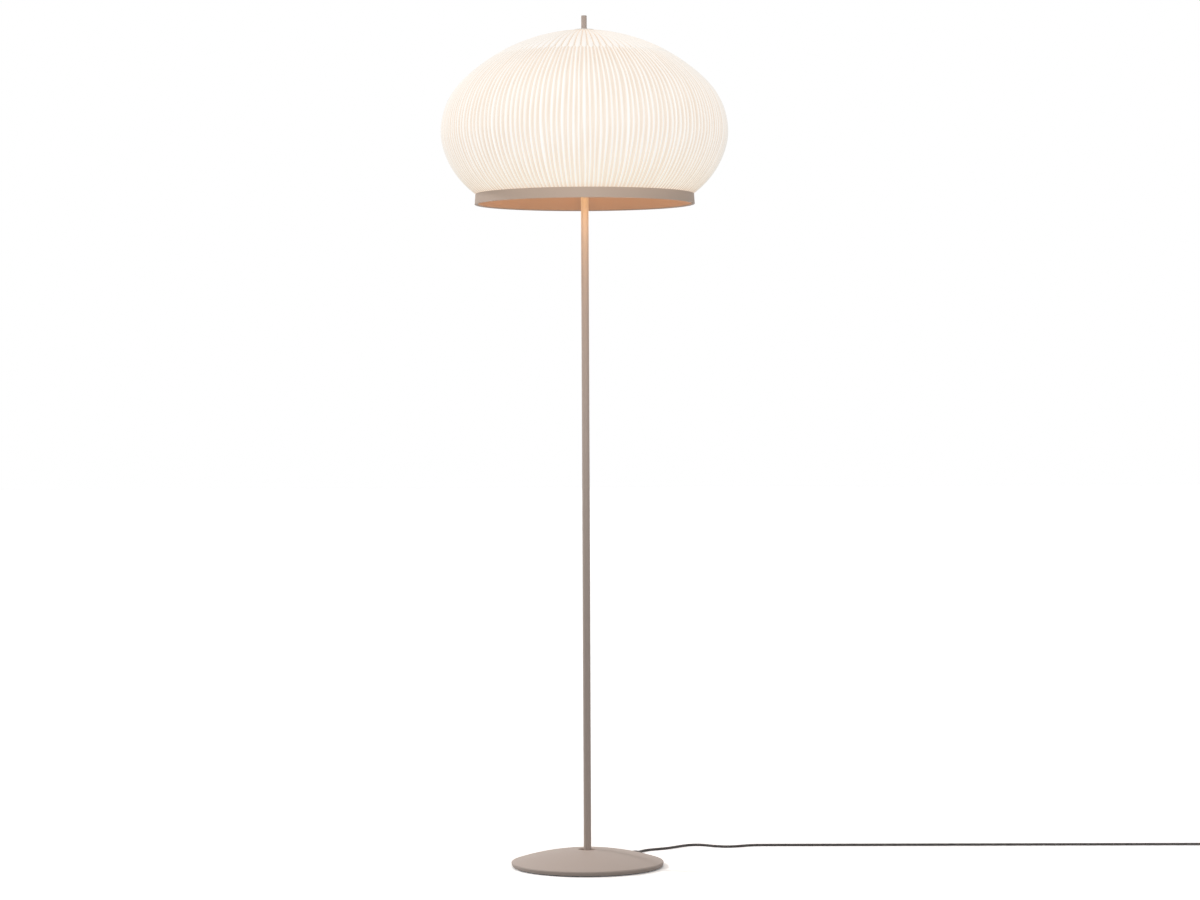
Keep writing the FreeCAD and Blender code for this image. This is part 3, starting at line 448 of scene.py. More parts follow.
coil = {"core": 0.0206, "pitch": 0.0055, "turnsIn": 3.25, "turnsOut": 2.75, "climbTurns": 0.5,
        "leadIn": 0.005, "tail": 0.034, "pointsPerTurn": 24}


def cordControlPoints():
    route = [Vector(point) for point in cord["route"]]
    heading = (route[-1] - route[-2]).normalized()
    straight = [route[-2] + heading * cord["easeOff"], route[-1] - heading * cord["easeOff"]]
    points = route[:-1] + straight + [route[-1]]
    outer = coil["core"] + coil["pitch"] * coil["turnsIn"]
    outerEnd = coil["core"] + coil["pitch"] * coil["turnsOut"]
    perRadian = coil["pitch"] / fullTurn
    startAngle = math.atan2(heading.y, heading.x) - math.pi / 2 - math.atan(perRadian / outer)
    middle = route[-1] + heading * coil["leadIn"] - flatWay(startAngle) * outer
    swell = 1 / math.cos(math.pi / coil["pointsPerTurn"])     # the line runs inside its control points

    def wound(turn):
        # inwards on the floor, then outwards again on top
        past = turn - coil["turnsIn"]
        radius = (coil["core"] + coil["pitch"] * abs(past)) * swell
        rise = coil["pitch"] * smoothStep(past, -coil["climbTurns"] / 2, coil["climbTurns"] / 2)
        return middle + flatWay(startAngle + fullTurn * turn) * radius + upward * rise

    turns = coil["turnsIn"] + coil["turnsOut"]
    count = round(turns * coil["pointsPerTurn"])
    points += [wound(turns * index / count) for index in range(count + 1)]
    endWay = flatWay(startAngle + fullTurn * turns + math.pi / 2 - math.atan(perRadian / outerEnd))
    points.append(points[-1] + endWay * coil["tail"])
    return points, endWay


def smoothLine(points):
    curve = bpy.data.curves.new("cordLine", "CURVE")
    curve.dimensions = "3D"
    curve.resolution_u = cord["steps"]
    spline = curve.splines.new("NURBS")
    spline.points.add(len(points) - 1)
    for control, point in zip(spline.points, points):
        control.co = (*point, 1.0)
    spline.order_u = 3
    spline.use_endpoint_u = True
    item = objectFrom("cordLine", curve)
    found = [vertex.co.copy() for vertex in plainMesh(item).vertices]
    bpy.data.objects.remove(item)
    return found


braid = {
    "strand": 0.0013, "dark": fromScreen(88, 82, 81), "light": fromScreen(166, 158, 155), "fleck": 0.30,
    "gap": rgba(0.02, 0.02, 0.02), "gapShare": 0.55, "roughness": 0.9, "sheen": 0.25,
    "bump": 0.7, "bumpDepth": 0.0004,
}


def makeBraid():
    # crossing yarns of the sleeve, a light one among dark ones, with painted shade between them
    material, tree, shader = newMaterial("cordBraid")
    girth = math.pi * cord["diameter"]
    along, around = threadPlace(tree, girth / round(girth / braid["strand"]))
    right = along + around
    left = along - around
    over = calc("GREATER_THAN", calc("PINGPONG", along, 1.0), 0.5)
    crests = {0: over, 2: zigzag(right) * 2.0, 3: zigzag(left) * 2.0}
    height = wired(tree, "ShaderNodeMix", crests, data_type="FLOAT")
    chance = chanceOf(calc("FLOOR", right), calc("FLOOR", left))
    strands = mixColor(calc("LESS_THAN", chance, braid["fleck"]), braid["dark"], braid["light"])
    # painted shade: the low places between the yarns are darkened towards black
    color = mixColor((1.0 - height) * braid["gapShare"], strands, braid["gap"])
    fabric(shader, color, height, braid)
    return material


def makeCord():
    points, endWay = cordControlPoints()
    line = smoothLine(points)
    rings = ringsAlong(line, [cord["diameter"] / 2] * len(line), cord["sides"])
    mesh = skinOver("powerCord", [rings], math.pi * cord["diameter"])
    item = addPiece("powerCord", mesh, "grey_cord", "power_cord", "cord_coil", material=makeBraid())
    return item, line, endWay


powerCord, cordLine, plugWay = makeCord()
print("cord laid:", len(cordLine), "rings")


# What sits on the cord: strain relief at the base, strap round the coil, plug with its pins

relief = {
    "length": 0.0345, "flange": 0.0037, "flangeLength": 0.0020, "root": 0.0033, "tip": 0.0029,
    "ribStart": 0.0125, "ribs": 8, "ribDepth": 0.00030, "ribSharpness": 3, "rows": 90, "sides": 32,
}


def makeRelief():
    # tapered sleeve whose outer stretch is cut into rings, so that it bends with the cord
    exitPoint = Vector(cord["route"][0])
    way = (Vector(cord["route"][1]) - exitPoint).normalized()
    line, radii = [], []
    for row in range(relief["rows"] + 1):
        reach = relief["length"] * row / relief["rows"]
        share = shareOf(reach, relief["ribStart"], relief["length"])
        radius = relief["root"] + (relief["tip"] - relief["root"]) * share
        radius -= relief["ribDepth"] * waves(share, relief["ribs"], relief["ribSharpness"])
        if reach < relief["flangeLength"]:
            radius = relief["flange"]
        line.append(exitPoint + way * (reach - relief["length"]))
        radii.append(radius)
    mesh = skinOver("cordRelief", [ringsAlong(line, radii, relief["sides"])])
    return addPiece("cordRelief", mesh, "grey_plastic", "cord_grommet")


strap = {
    "thickness": 0.0008, "corner": 0.0030, "overlap": 0.0120, "ramp": 0.0050, "lie": 0.0001,
    "cornerSteps": 8, "flatStep": 0.0010, "edge": 0.00015,
    "thread": 0.0007, "color": rgba(0.045, 0.044, 0.044), "gap": rgba(0.015, 0.015, 0.015), "contrast": 3.0,
    "roughness": 0.85, "sheen": 0.3, "bump": 0.8, "bumpDepth": 0.0004,
}


def strapLoop(low, high):
    # the strap's middle line, once round the coil from the middle of its top: place and outward way
    half, bend = strap["thickness"] / 2, strap["corner"]
    left, right, bottom, top = low.y + half, high.y - half, low.z + half, high.z - half
    middle = (left + right) / 2
    stops = [(middle, top, 0, 1)]
    corners = ((right - bend, top - bend, 90), (right - bend, bottom + bend, 0),
               (left + bend, bottom + bend, -90), (left + bend, top - bend, -180))
    for y, z, first in corners:
        for step in range(strap["cornerSteps"] + 1):
            turn = math.radians(first - 90 * step / strap["cornerSteps"])
            outY, outZ = math.cos(turn), math.sin(turn)
            stops.append((y + bend * outY, z + bend * outZ, outY, outZ))
    return stops + [(middle, top, 0, 1), (middle + strap["overlap"], top, 0, 1)]


def makeStrap():
    low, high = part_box("cord_tie")
    stops = strapLoop(low, high)
    places = []
    for start, end in zip(stops, stops[1:]):
        parts = max(1, round(math.hypot(end[0] - start[0], end[1] - start[1]) / strap["flatStep"]))
        for part in range(parts):
            y, z, outY, outZ = [a + (b - a) * part / parts for a, b in zip(start, end)]
            places.append((Vector((0, y, z)), Vector((0, outY, outZ)).normalized()))
    places.append((Vector((0, *stops[-1][:2])), upward))
    reach = [0.0]
    for before, after in zip(places, places[1:]):
        reach.append(reach[-1] + (after[0] - before[0]).length)
    overlapStart = reach[-1] - strap["overlap"]
    half, edge = strap["thickness"] / 2, strap["edge"]
    section = [(low.x + edge, -half), (high.x - edge, -half), (high.x, -half + edge), (high.x, half - edge),
               (high.x - edge, half), (low.x + edge, half), (low.x, half - edge), (low.x, -half + edge)]
    rings = []
    for (place, out), distance in zip(places, reach):
        # the end lies on top of the start
        climb = smoothStep(distance, overlapStart - strap["ramp"], overlapStart)
        lift = (strap["thickness"] + strap["lie"]) * climb
        rings.append([place + Vector((x, 0, 0)) + out * (depth + lift) for x, depth in section])
    mesh = skinOver("coilStrap", [rings], 2 * (high.x - low.x))
    return addPiece("coilStrap", mesh, "cord_tie", "cord_tie", material=makeStrapWeave())


def makeStrapWeave():
    # over-and-under weave of a narrow strap, with painted shade between the threads
    material, tree, shader = newMaterial("strapWeave")
    along, across = threadPlace(tree, strap["thread"])
    height = zigzag(along) * zigzag(across)
    # painted shade: where the threads dip, the strap is darkened towards black
    fabric(shader, mixColor(height * strap["contrast"], strap["gap"], strap["color"]), height, strap)
    return material


plug = {
    "neck": 0.014, "body": 0.034, "neckTip": 0.0034, "neckRoot": 0.0052,
    "halfWidth": 0.0130, "halfHeight": 0.0090, "shoulder": 0.012, "swellFrom": 0.9, "squareness": 3.4,
    "neckRibs": 4, "ribDepth": 0.0007, "ribSharpness": 2,
    "grips": 5, "gripStart": 0.0280, "gripEnd": 0.0430, "gripDepth": 0.0008, "gripFade": 3,
    "edge": 0.0018, "edgeRows": (0.4, 0.2, 0.08, 0.02, 0.0), "rows": 110, "sides": 56,
}
pins = {"radius": 0.0020, "length": 0.019, "spacing": 0.0186, "tip": 0.0012, "sleeve": 0.010,
        "sleeveRadius": 0.00203, "sleeveTip": 0.0003, "seat": 0.001, "rows": 40, "sides": 24}
plugLength = plug["neck"] + plug["body"]


def plugSpot(reach, across=0.0, up=0.0):
    # a place on the plug, from where the cord enters it
    aside = Vector((-plugWay.y, plugWay.x, 0))
    return cordLine[-1] + plugWay * reach + aside * across + upward * up


def plugRing(reach):
    # round at the neck, a rounded oblong at the face, with grip grooves on both sides
    taper = min(reach / plug["neck"], 1)
    neck = plug["neckTip"] + (plug["neckRoot"] - plug["neckTip"]) * taper
    if reach < plug["neck"]:
        neck -= plug["ribDepth"] * waves(taper, plug["neckRibs"], plug["ribSharpness"])
    swell = smoothStep(reach, plug["neck"] * plug["swellFrom"], plug["neck"] + plug["shoulder"])
    inset = roundedEnd(reach, plugLength, plug["edge"])
    power = 2 / (2 + (plug["squareness"] - 2) * swell)
    groove = plug["gripDepth"] * waves(shareOf(reach, plug["gripStart"], plug["gripEnd"]), plug["grips"])
    ring = []
    for turn in turnsOf(plug["sides"]):
        cosine, sine = math.cos(turn), math.sin(turn)
        width = neck + (plug["halfWidth"] - neck) * swell - inset - groove * abs(cosine) ** plug["gripFade"]
        height = neck + (plug["halfHeight"] - neck) * swell - inset
        ring.append(plugSpot(reach, math.copysign(abs(cosine) ** power, cosine) * width,
                             math.copysign(abs(sine) ** power, sine) * height))
    return ring


def pinRings(side, first, last, radius, tip):
    # a round pin or sleeve between two distances from the plug's face, with a rounded end
    line, radii = [], []
    for row in range(pins["rows"] + 1):
        reach = first + (last - first) * row / pins["rows"]
        line.append(plugSpot(plugLength + reach, side * pins["spacing"] / 2))
        radii.append(radius - roundedEnd(reach, last, tip))
    return ringsAlong(line, radii, pins["sides"])


def makePlug():
    rows = [plugLength * row / plug["rows"] for row in range(plug["rows"])]
    rows += [plugLength - plug["edge"] * share for share in plug["edgeRows"]]
    body = skinOver("plugBody", [[plugRing(row) for row in sorted(rows)]])
    metal, sleeves = [], []
    root = pins["sleeve"] - pins["seat"]
    for side in (-1, 1):
        metal.append(pinRings(side, root, pins["length"], pins["radius"], pins["tip"]))
        sleeves.append(pinRings(side, -pins["seat"], pins["sleeve"], pins["sleeveRadius"], pins["sleeveTip"]))
    return [addPiece("plugBody", body, "grey_plastic", "plug_body"),
            addPiece("plugPins", skinOver("plugPins", metal), "pin_metal", "plug_pins"),
            addPiece("pinSleeves", skinOver("pinSleeves", sleeves), "grey_plastic")]


makeRelief()
onCord = makePlug() + [makeStrap()]
print("plug, strap and strain relief made")


# Floor, backdrop and studio light

studio = {
    "ambient": 0.385, "ambientColor": rgba(1.0, 0.99, 0.98), "backdrop": rgba(1.0, 1.0, 1.0),
    "floorSize": 60.0, "floorColor": rgba(0.40, 0.40, 0.40), "floorSeen": rgba(1.4, 1.4, 1.4),
    "floorLift": 0.05, "lampColor": rgba(1.0, 0.99, 0.98),
    "skyPlace": (-0.2, -0.9, 4.0), "skyLevel": 0.56, "skySpread": 60.0,
    "keyPlace": (-3.0, 1.15, 2.7), "keyLevel": 1.10, "keySpread": 10.0,
    "frontPlace": (-0.20, -3.05, 1.60), "frontAim": (0.0, 0.0, 1.25), "frontPower": 116.0,
    "frontCone": 30.0, "frontSize": 0.30, "frontColor": rgba(1.0, 0.97, 0.93),
}


def seenDirectly(tree):
    # 1 for what the camera, a reflection or a clear pane sees, else 0
    path = wires(tree, addNode(tree, "ShaderNodeLightPath"))
    seen = calc("MAXIMUM", path["Is Camera Ray"], path["Is Glossy Ray"])
    return calc("MAXIMUM", seen, path["Is Transmission Ray"])


def makeWorld():
    world = bpy.data.worlds.new("studio")
    scene.world = world
    world.use_nodes = True
    tree = world.node_tree
    backdrop = [node for node in tree.nodes if node.type == "BACKGROUND"][0]
    seen = seenDirectly(tree)
    fill(backdrop, {"Color": mixColor(seen, studio["ambientColor"], studio["backdrop"]),
                    "Strength": ease(seen, 0.0, 1.0, studio["ambient"], 1.0)})


def makeFloor():
    half = studio["floorSize"] / 2
    corners = [(-half, -half, 0), (half, -half, 0), (half, half, 0), (-half, half, 0)]
    mesh = bpy.data.meshes.new("floor")
    mesh.from_pydata(corners, [], [(0, 1, 2, 3)])
    material, tree, shader = newMaterial("paleFloor")
    tree.nodes.clear()
    # the floor throws back less light than it shows, so that the lamp is not lit from below
    seen = seenDirectly(tree)
    color = mixColor(seen, studio["floorColor"], studio["floorSeen"])
    matt = wired(tree, "ShaderNodeBsdfDiffuse", {"Color": color})
    lift = wired(tree, "ShaderNodeEmission", {"Strength": seen * studio["floorLift"]})
    both = wired(tree, "ShaderNodeAddShader", {0: matt, 1: lift})
    addNode(tree, "ShaderNodeOutputMaterial", {"Surface": both})
    objectFrom("floor", mesh, material)


def addLamp(name, kind, place, power, color, aim=None, **settings):
    data = bpy.data.lights.new(name, kind)
    data.energy = power
    data.color = color[:3]
    for key, value in settings.items():
        setattr(data, key, value)
    item = objectFrom(name, data)
    item.location = place
    if aim is not None:
        item.rotation_euler = (Vector(aim) - Vector(place)).to_track_quat("-Z", "Y").to_euler()


makeWorld()
makeFloor()
for name in ("sky", "key"):
    addLamp(name + "Light", "SUN", studio[name + "Place"], studio[name + "Level"], studio["lampColor"],
            (0, 0, 0), angle=math.radians(studio[name + "Spread"]))
addLamp("frontLight", "SPOT", studio["frontPlace"], studio["frontPower"], studio["frontColor"],
        studio["frontAim"], spot_size=math.radians(studio["frontCone"]), spot_blend=1.0,
        shadow_soft_size=studio["frontSize"])
print("stage lit")


# Knitted shade: two ribbed layers on the shade's own profile

knit = {
    "pairs": 84, "steps": 16, "mouth": 0.2160, "drop": 0.1219, "rise": 0.2045, "hole": 0.0090,
    "shoulderAngle": 45.8, "hipAngle": 14.8, "hipRadius": 0.1028, "crownOffset": 0.0054,
    "hemDepth": 0.0090, "foot": 0.0, "depth": 0.0022, "mouthDepth": 0.0008,
    "fadeStart": 0.018, "fadeEnd": 0.110,      # from the axis: the ribs rise out of the crown here
    "hemRise": 0.060, "tuck": 0.004,           # from the ring's top: up to full ribs, and down to none
    "forkRadius": 0.168, "forkAbove": 0.020, "forkBelow": 0.032,       # finer rows on both sides of the fork
    "forkLength": 0.012, "forkSlip": 0.0045, "forkGroove": 0.65,
    "wobble": 0.08, "uneven": 0.18, "shift": 0.0, "twist": 0.0, "seed": 3.0,
    "cut": 0.74,                               # the tapered cloth's share of its flat rectangle
    "rows": {"crown": 10, "fork": 28, "brow": 8, "shoulder": 11, "hip": 3, "hem": 11},
}
liner = dict(knit, steps=8, mouth=0.2147, rise=0.2032, hipRadius=0.0671, foot=0.0030, depth=0.0014,
             mouthDepth=0.0002, shift=0.37, twist=5.0, seed=11.0,
             rows={"crown": 12, "fork": 8, "brow": 8, "shoulder": 12, "hip": 4, "hem": 12})


def knitProfile(settings, radius, ringTop):
    # rows down the layer, each with its place and outward way, and how far down the ribs fork
    equator = ringTop + settings["drop"]
    tilt = math.radians(settings["shoulderAngle"])
    share = (1 - math.sin(tilt)) / math.cos(tilt)
    offset = settings["crownOffset"]
    shoulder = (settings["rise"] - share * (radius + offset)) / (1 - share)
    crown = shoulder + (radius + offset - shoulder) / math.cos(tilt)
    hipTurn = math.radians(settings["hipAngle"])
    hip = settings["hipRadius"]
    hemR = radius - settings["mouth"] - hip * (1 - math.cos(hipTurn))
    hemZ = settings["drop"] - settings["foot"] - hip * math.sin(hipTurn)
    chord = math.hypot(hemR, hemZ)
    hem = chord ** 2 / (2 * (hemR * math.cos(hipTurn) - hemZ * math.sin(hipTurn)))
    hemTurn = hipTurn + 2 * math.asin(chord / (2 * hem))
    crownMiddle = (-offset, equator + settings["rise"] - crown)

    def crownElevation(reach):
        return math.acos((reach + offset) / crown)

    rows = settings["rows"]
    hipEnd = (radius - hip * (1 - math.cos(hipTurn)), equator - hip * math.sin(hipTurn))
    hemMiddle = (hipEnd[0] - hem * math.cos(hipTurn), hipEnd[1] + hem * math.sin(hipTurn))
    crownTop = crownElevation(settings["hole"])
    forkTop = crownElevation(settings["forkRadius"] - settings["forkAbove"])
    forkEnd = crownElevation(settings["forkRadius"] + settings["forkBelow"])
    # each arc: centre (r, z), radius, first and last elevation of its outward way, rows
    arcs = [
        (crownMiddle, crown, crownTop, forkTop, rows["crown"]),
        (crownMiddle, crown, forkTop, forkEnd, rows["fork"]),
        (crownMiddle, crown, forkEnd, tilt, rows["brow"]),
        ((radius - shoulder, equator), shoulder, tilt, 0.0, rows["shoulder"]),
        ((radius - hip, equator), hip, 0.0, -hipTurn, rows["hip"]),
        (hemMiddle, hem, -hipTurn, -hemTurn, rows["hem"]),
    ]
    profile = []
    for middle, size, first, last, count in arcs:
        for index in range(count):
            turn = first + (last - first) * index / count
            way = Vector((math.cos(turn), 0, math.sin(turn)))
            profile.append((Vector((middle[0], 0, middle[1])) + way * size, way))
    mouthWay = Vector((math.cos(hemTurn), 0, -math.sin(hemTurn)))
    flat = Vector((1, 0, 0))
    tucked = settings["hemDepth"]
    for drop, way in ((-settings["foot"], mouthWay), (tucked / 3, flat), (tucked, flat)):
        profile.append((Vector((settings["mouth"], 0, ringTop - drop)), way))
    return profile, crown * (crownTop - crownElevation(settings["forkRadius"]))


def profileMesh(name, settings, profile, ringTop):
    mesh = bpy.data.meshes.new(name)
    mesh.from_pydata([point for point, way in profile], [(i, i + 1) for i in range(len(profile) - 1)], [])
    along, depths, distance = [], [], 0.0
    for index, (point, way) in enumerate(profile):
        if index:
            distance += (point - profile[index - 1][0]).length
        along.append(distance)
        crownFade = smoothStep(point.x, settings["fadeStart"], settings["fadeEnd"])
        lift = smoothStep(point.z, ringTop, ringTop + settings["hemRise"])
        depth = settings["mouthDepth"] + (settings["depth"] - settings["mouthDepth"]) * lift
        depths.append(depth * crownFade * (1.0 if point.z > ringTop - settings["tuck"] else 0.0))
    for title, values in (("along", along), ("relief", depths)):
        mesh.attributes.new(title, "FLOAT", "POINT").data.foreach_set("value", values)
    outward = mesh.attributes.new("outward", "FLOAT_VECTOR", "POINT")
    outward.data.foreach_set("vector", [number for point, way in profile for number in way])
    return mesh


# sides are shares of the way between two ribs; four numbers are from, to and the values there
ribShape = {
    "crownSide": (0.08, 0.50), "bodySide": (0.25, 0.95), "newRib": (0.35, 0.65, 0.86, 1.0),
    "archSide": (0.45, 0.80, 1.0, 0.0), "forkEdge": 0.004, "weld": 1e-6,
    "driftAround": 14.0, "driftAlong": 4.0, "driftScale": 1.6, "driftReach": 4.0,
}
# the tree's inputs that come straight from a layer's settings
ribInputs = {
    "Pairs": "pairs", "Steps": "steps", "Fork Length": "forkLength", "Fork Slip": "forkSlip",
    "Fork Groove": "forkGroove", "Wobble": "wobble", "Uneven": "uneven", "Shift": "shift", "Twist": "twist",
    "Seed": "seed",
}


def makeKnitTree():
    inputs = {"Profile": "Geometry", **dict.fromkeys(ribInputs, "Float"), "Pairs": "Int", "Steps": "Int",
              "Fork Along": "Float", "Finish": "Material"}
    tree, given, made = newTree("ribbedKnit", "GeometryNodeTree", inputs, {"Knit": "Geometry"})
    count = wired(tree, "GeometryNodeAttributeDomainSize", {0: given["Profile"]}, "Point Count")
    terms = {"Size X": 1.0, "Size Y": 1.0, "Vertices X": given["Pairs"] * given["Steps"] + 1.0,
             "Vertices Y": count}
    grid = wires(tree, addNode(tree, "GeometryNodeMeshGrid", terms))
    place = wired(tree, "GeometryNodeInputPosition")
    corner = parted(place)
    turn = corner[0] + 0.5
    row = calc("ROUND", (0.5 - corner[1]) * (count - 1.0))

    def sampled(kind, field):
        terms = {"Geometry": given["Profile"], "Value": field, "Index": row}
        return wired(tree, "GeometryNodeSampleIndex", terms, data_type=kind)

    def named(kind, title):
        return sampled(kind, wired(tree, "GeometryNodeInputNamedAttribute", {"Name": title}, data_type=kind))

    point = sampled("FLOAT_VECTOR", place)
    outward = named("FLOAT_VECTOR", "outward")
    along = named("FLOAT", "along")
    depth = named("FLOAT", "relief")
    angle = turn * fullTurn
    cosine = calc("COSINE", angle)
    sine = calc("SINE", angle)
    # ribs wander a little sideways on their way down
    around = ribShape["driftAround"]
    spot = joined(cosine * around, sine * around, along * ribShape["driftAlong"] + given["Seed"])
    drift = noiseOf(spot, ribShape["driftScale"], 1.0) - 0.5
    phase = turn * given["Pairs"] + (given["Shift"] + given["Twist"] * along)
    phase = phase + drift * (given["Wobble"] * ribShape["driftReach"])
    # 0 where a new rib starts at the fork, 1 on the ribs that run from the crown
    split = abs(calc("FRACT", phase) - 0.5) * 2.0
    crownRib = ease(split, *ribShape["crownSide"])
    twin = abs(split * 2.0 - 1.0)
    bodyRib = ease(twin, *ribShape["bodySide"]) * ease(split, *ribShape["newRib"])
    # no two ribs are drawn quite as tight
    ribNumber = calc("MODULO", calc("FLOOR", phase * 2.0 + 0.5), given["Pairs"] * 2.0)
    bodyRib = bodyRib * (1.0 - chanceOf(ribNumber, given["Seed"]) * given["Uneven"])
    # the line of forks sits lower at the front than at the back
    slip = given["Fork Slip"] * (sine * -1.0)
    forkStart = given["Fork Along"] + slip + given["Fork Length"] * (split * split)
    forked = ease(along - forkStart, 0.0, ribShape["forkEdge"])
    rib = crownRib + forked * (bodyRib - crownRib)
    # a groove arches over the start of each new rib
    arch = zigzag(forked) * (given["Fork Groove"] * 2.0) * ease(split, *ribShape["archSide"])
    rib = rib * (1.0 - arch)

    sink = scaled(outward, depth * (rib - 1.0))
    flat = parted(wired(tree, "ShaderNodeVectorMath", {0: point, 1: sink}, operation="ADD"))
    turned = joined(flat[0] * cosine, flat[0] * sine, flat[2])

    def stored(mesh, kind, domain, title, value):
        terms = {"Geometry": mesh, "Name": title, "Value": value}
        return wired(tree, "GeometryNodeStoreNamedAttribute", terms, data_type=kind, domain=domain)

    mesh = stored(grid["Mesh"], "FLOAT2", "CORNER", "UVMap", grid["UV Map"])
    mesh = stored(mesh, "FLOAT", "POINT", "rib", rib)
    mesh = stored(mesh, "FLOAT", "POINT", "along", along)
    mesh = wired(tree, "GeometryNodeSetPosition", {"Geometry": mesh, "Position": turned})
    mesh = wired(tree, "GeometryNodeMergeByDistance", {"Geometry": mesh, "Distance": ribShape["weld"]})
    mesh = wired(tree, "GeometryNodeSetShadeSmooth", {"Geometry": mesh})
    fill(made, {"Knit": dressed(mesh, given["Finish"])})
    return tree


def grow(item, tree, values):
    # a node modifier whose inputs are set by their sockets' identifiers; its result becomes the item's mesh
    modifier = item.modifiers.new(tree.name, "NODES")
    modifier.node_group = tree
    identifiers = {socket.name: socket.identifier for socket in tree.interface.items_tree
                   if socket.item_type == "SOCKET" and socket.in_out == "INPUT"}
    for name, value in values.items():
        modifier[identifiers[name]] = value
    mesh = plainMesh(item)
    item.modifiers.clear()
    item.data = mesh


# reaches are metres down from the crown's hole, with the values at both ends where there are four numbers
yarn = {
    "crest": rgba(0.38, 0.375, 0.365), "valley": rgba(0.32, 0.29, 0.26), "level": 0.78, "linerLevel": 0.71,
    "glowCrest": rgba(1.0, 0.997, 0.978), "glowValley": rgba(0.875, 0.79, 0.69),
    "glowInside": rgba(0.85, 0.52, 0.29),
    "crownCrest": (0.03, 0.08, 0.45, 1.0), "crownGlow": (0.10, 0.34, 0.875, 1.0),
    "hemReach": (0.40, 0.52), "hemTint": rgba(1.02, 1.0, 0.94),
    "ringReach": (0.504, 0.524), "ringShadeTint": rgba(0.90, 0.81, 0.75),
    "roughness": 0.95, "specular": 0.1,
    "sheen": 0.60, "sheenRoughness": 0.50, "sheenTint": rgba(1.0, 0.74, 0.52),
    "course": 0.0016, "wales": 6.0, "bump": 0.07, "bumpDepth": 0.0004,
    "seeThrough": 0.25, "openUpTo": 0.6,       # light comes through the grooves, up to this height of a rib
}


def makeYarn(name, level, seeThrough):
    material, tree, shader = newMaterial(name)

    def attribute(title):
        return wired(tree, "ShaderNodeAttribute", output="Fac", attribute_name=title)

    # the knit is drawn together towards the crown, and its ribs fade there; the fade also paints the crown's
    # edge-on top in the darker valley glow, a painted shade
    along = attribute("along")
    rib = attribute("rib") * ease(along, *yarn["crownCrest"])
    shine = mixColor(rib, yarn["glowValley"], yarn["glowCrest"])
    # the light tube hangs halfway up, so the crown glows less and the hem warmer
    shine = mixColor(ease(along, *yarn["hemReach"]), shine, yarn["hemTint"], "MULTIPLY")
    # painted shade: the ring shades the last stitches
    shine = mixColor(ease(along, *yarn["ringReach"]), shine, yarn["ringShadeTint"], "MULTIPLY")
    shine = scaled(shine, ease(along, *yarn["crownGlow"]))
    # the inner face is lit by the warm tube itself
    inner = wired(tree, "ShaderNodeNewGeometry", output="Backfacing")
    # fine stitch courses
    wale = zigzag(uvPlace(tree)[0] * (knit["pairs"] * yarn["wales"]))
    course = zigzag(along / yarn["course"] + wale)
    fabric(shader, mixColor(rib, yarn["valley"], yarn["crest"]), course + wale, yarn)
    fill(shader, {"Emission Color": mixColor(inner, shine, yarn["glowInside"]), "Emission Strength": level,
                  "Specular IOR Level": yarn["specular"], "Sheen Roughness": yarn["sheenRoughness"],
                  "Sheen Tint": yarn["sheenTint"]})
    if seeThrough:
        fill(shader, {"Alpha": ease(rib, 0.0, yarn["openUpTo"], 1.0 - seeThrough, 1.0)})
    return material


def makeKnit(name, node, settings, material, tree):
    low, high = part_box(node)
    ringTop = low.z + settings["hemDepth"]
    profile, forkAlong = knitProfile(settings, high.x, ringTop)
    item = objectFrom(name, profileMesh(name + "Profile", settings, profile, ringTop))
    values = {title: settings[key] for title, key in ribInputs.items()}
    grow(item, tree, {**values, "Fork Along": forkAlong, "Finish": material})
    mount(item, "white_knit", node)
    length = sum((after[0] - before[0]).length for before, after in zip(profile, profile[1:]))
    print(name, "faces", len(item.data.polygons), "length", round(length, 3))


knitTree = makeKnitTree()
shadeYarn = makeYarn("shadeYarn", yarn["level"], yarn["seeThrough"])
makeKnit("shadeKnit", "knit_shade", knit, shadeYarn, knitTree)
linerYarn = makeYarn("linerYarn", yarn["linerLevel"], 0.0)
makeKnit("shadeLiner", "knit_liner", liner, linerYarn, knitTree)


# Screws: countersunk under the base, pan heads on the spider's tabs, all with a cross recess

screws = {"sides": 32, "armWidth": 0.13, "armReach": 0.56, "recess": 0.30, "floorShare": 0.62,
          "land": 0.0002, "crease": 35.0, "seed": 5}
plateScrews = {"count": 4, "circle": 0.118, "first": 20.0, "outward": 0.0, "head": 0.0038,
               "headHeight": 0.0020, "shank": 0.0020, "length": 0.0110, "rim": 1.0}
spiderScrews = {"count": 3, "first": 90.0, "outward": 1.0, "head": 0.0028, "headHeight": 0.0018,
                "shank": 0.0015, "length": 0.0074, "rim": 0.80}


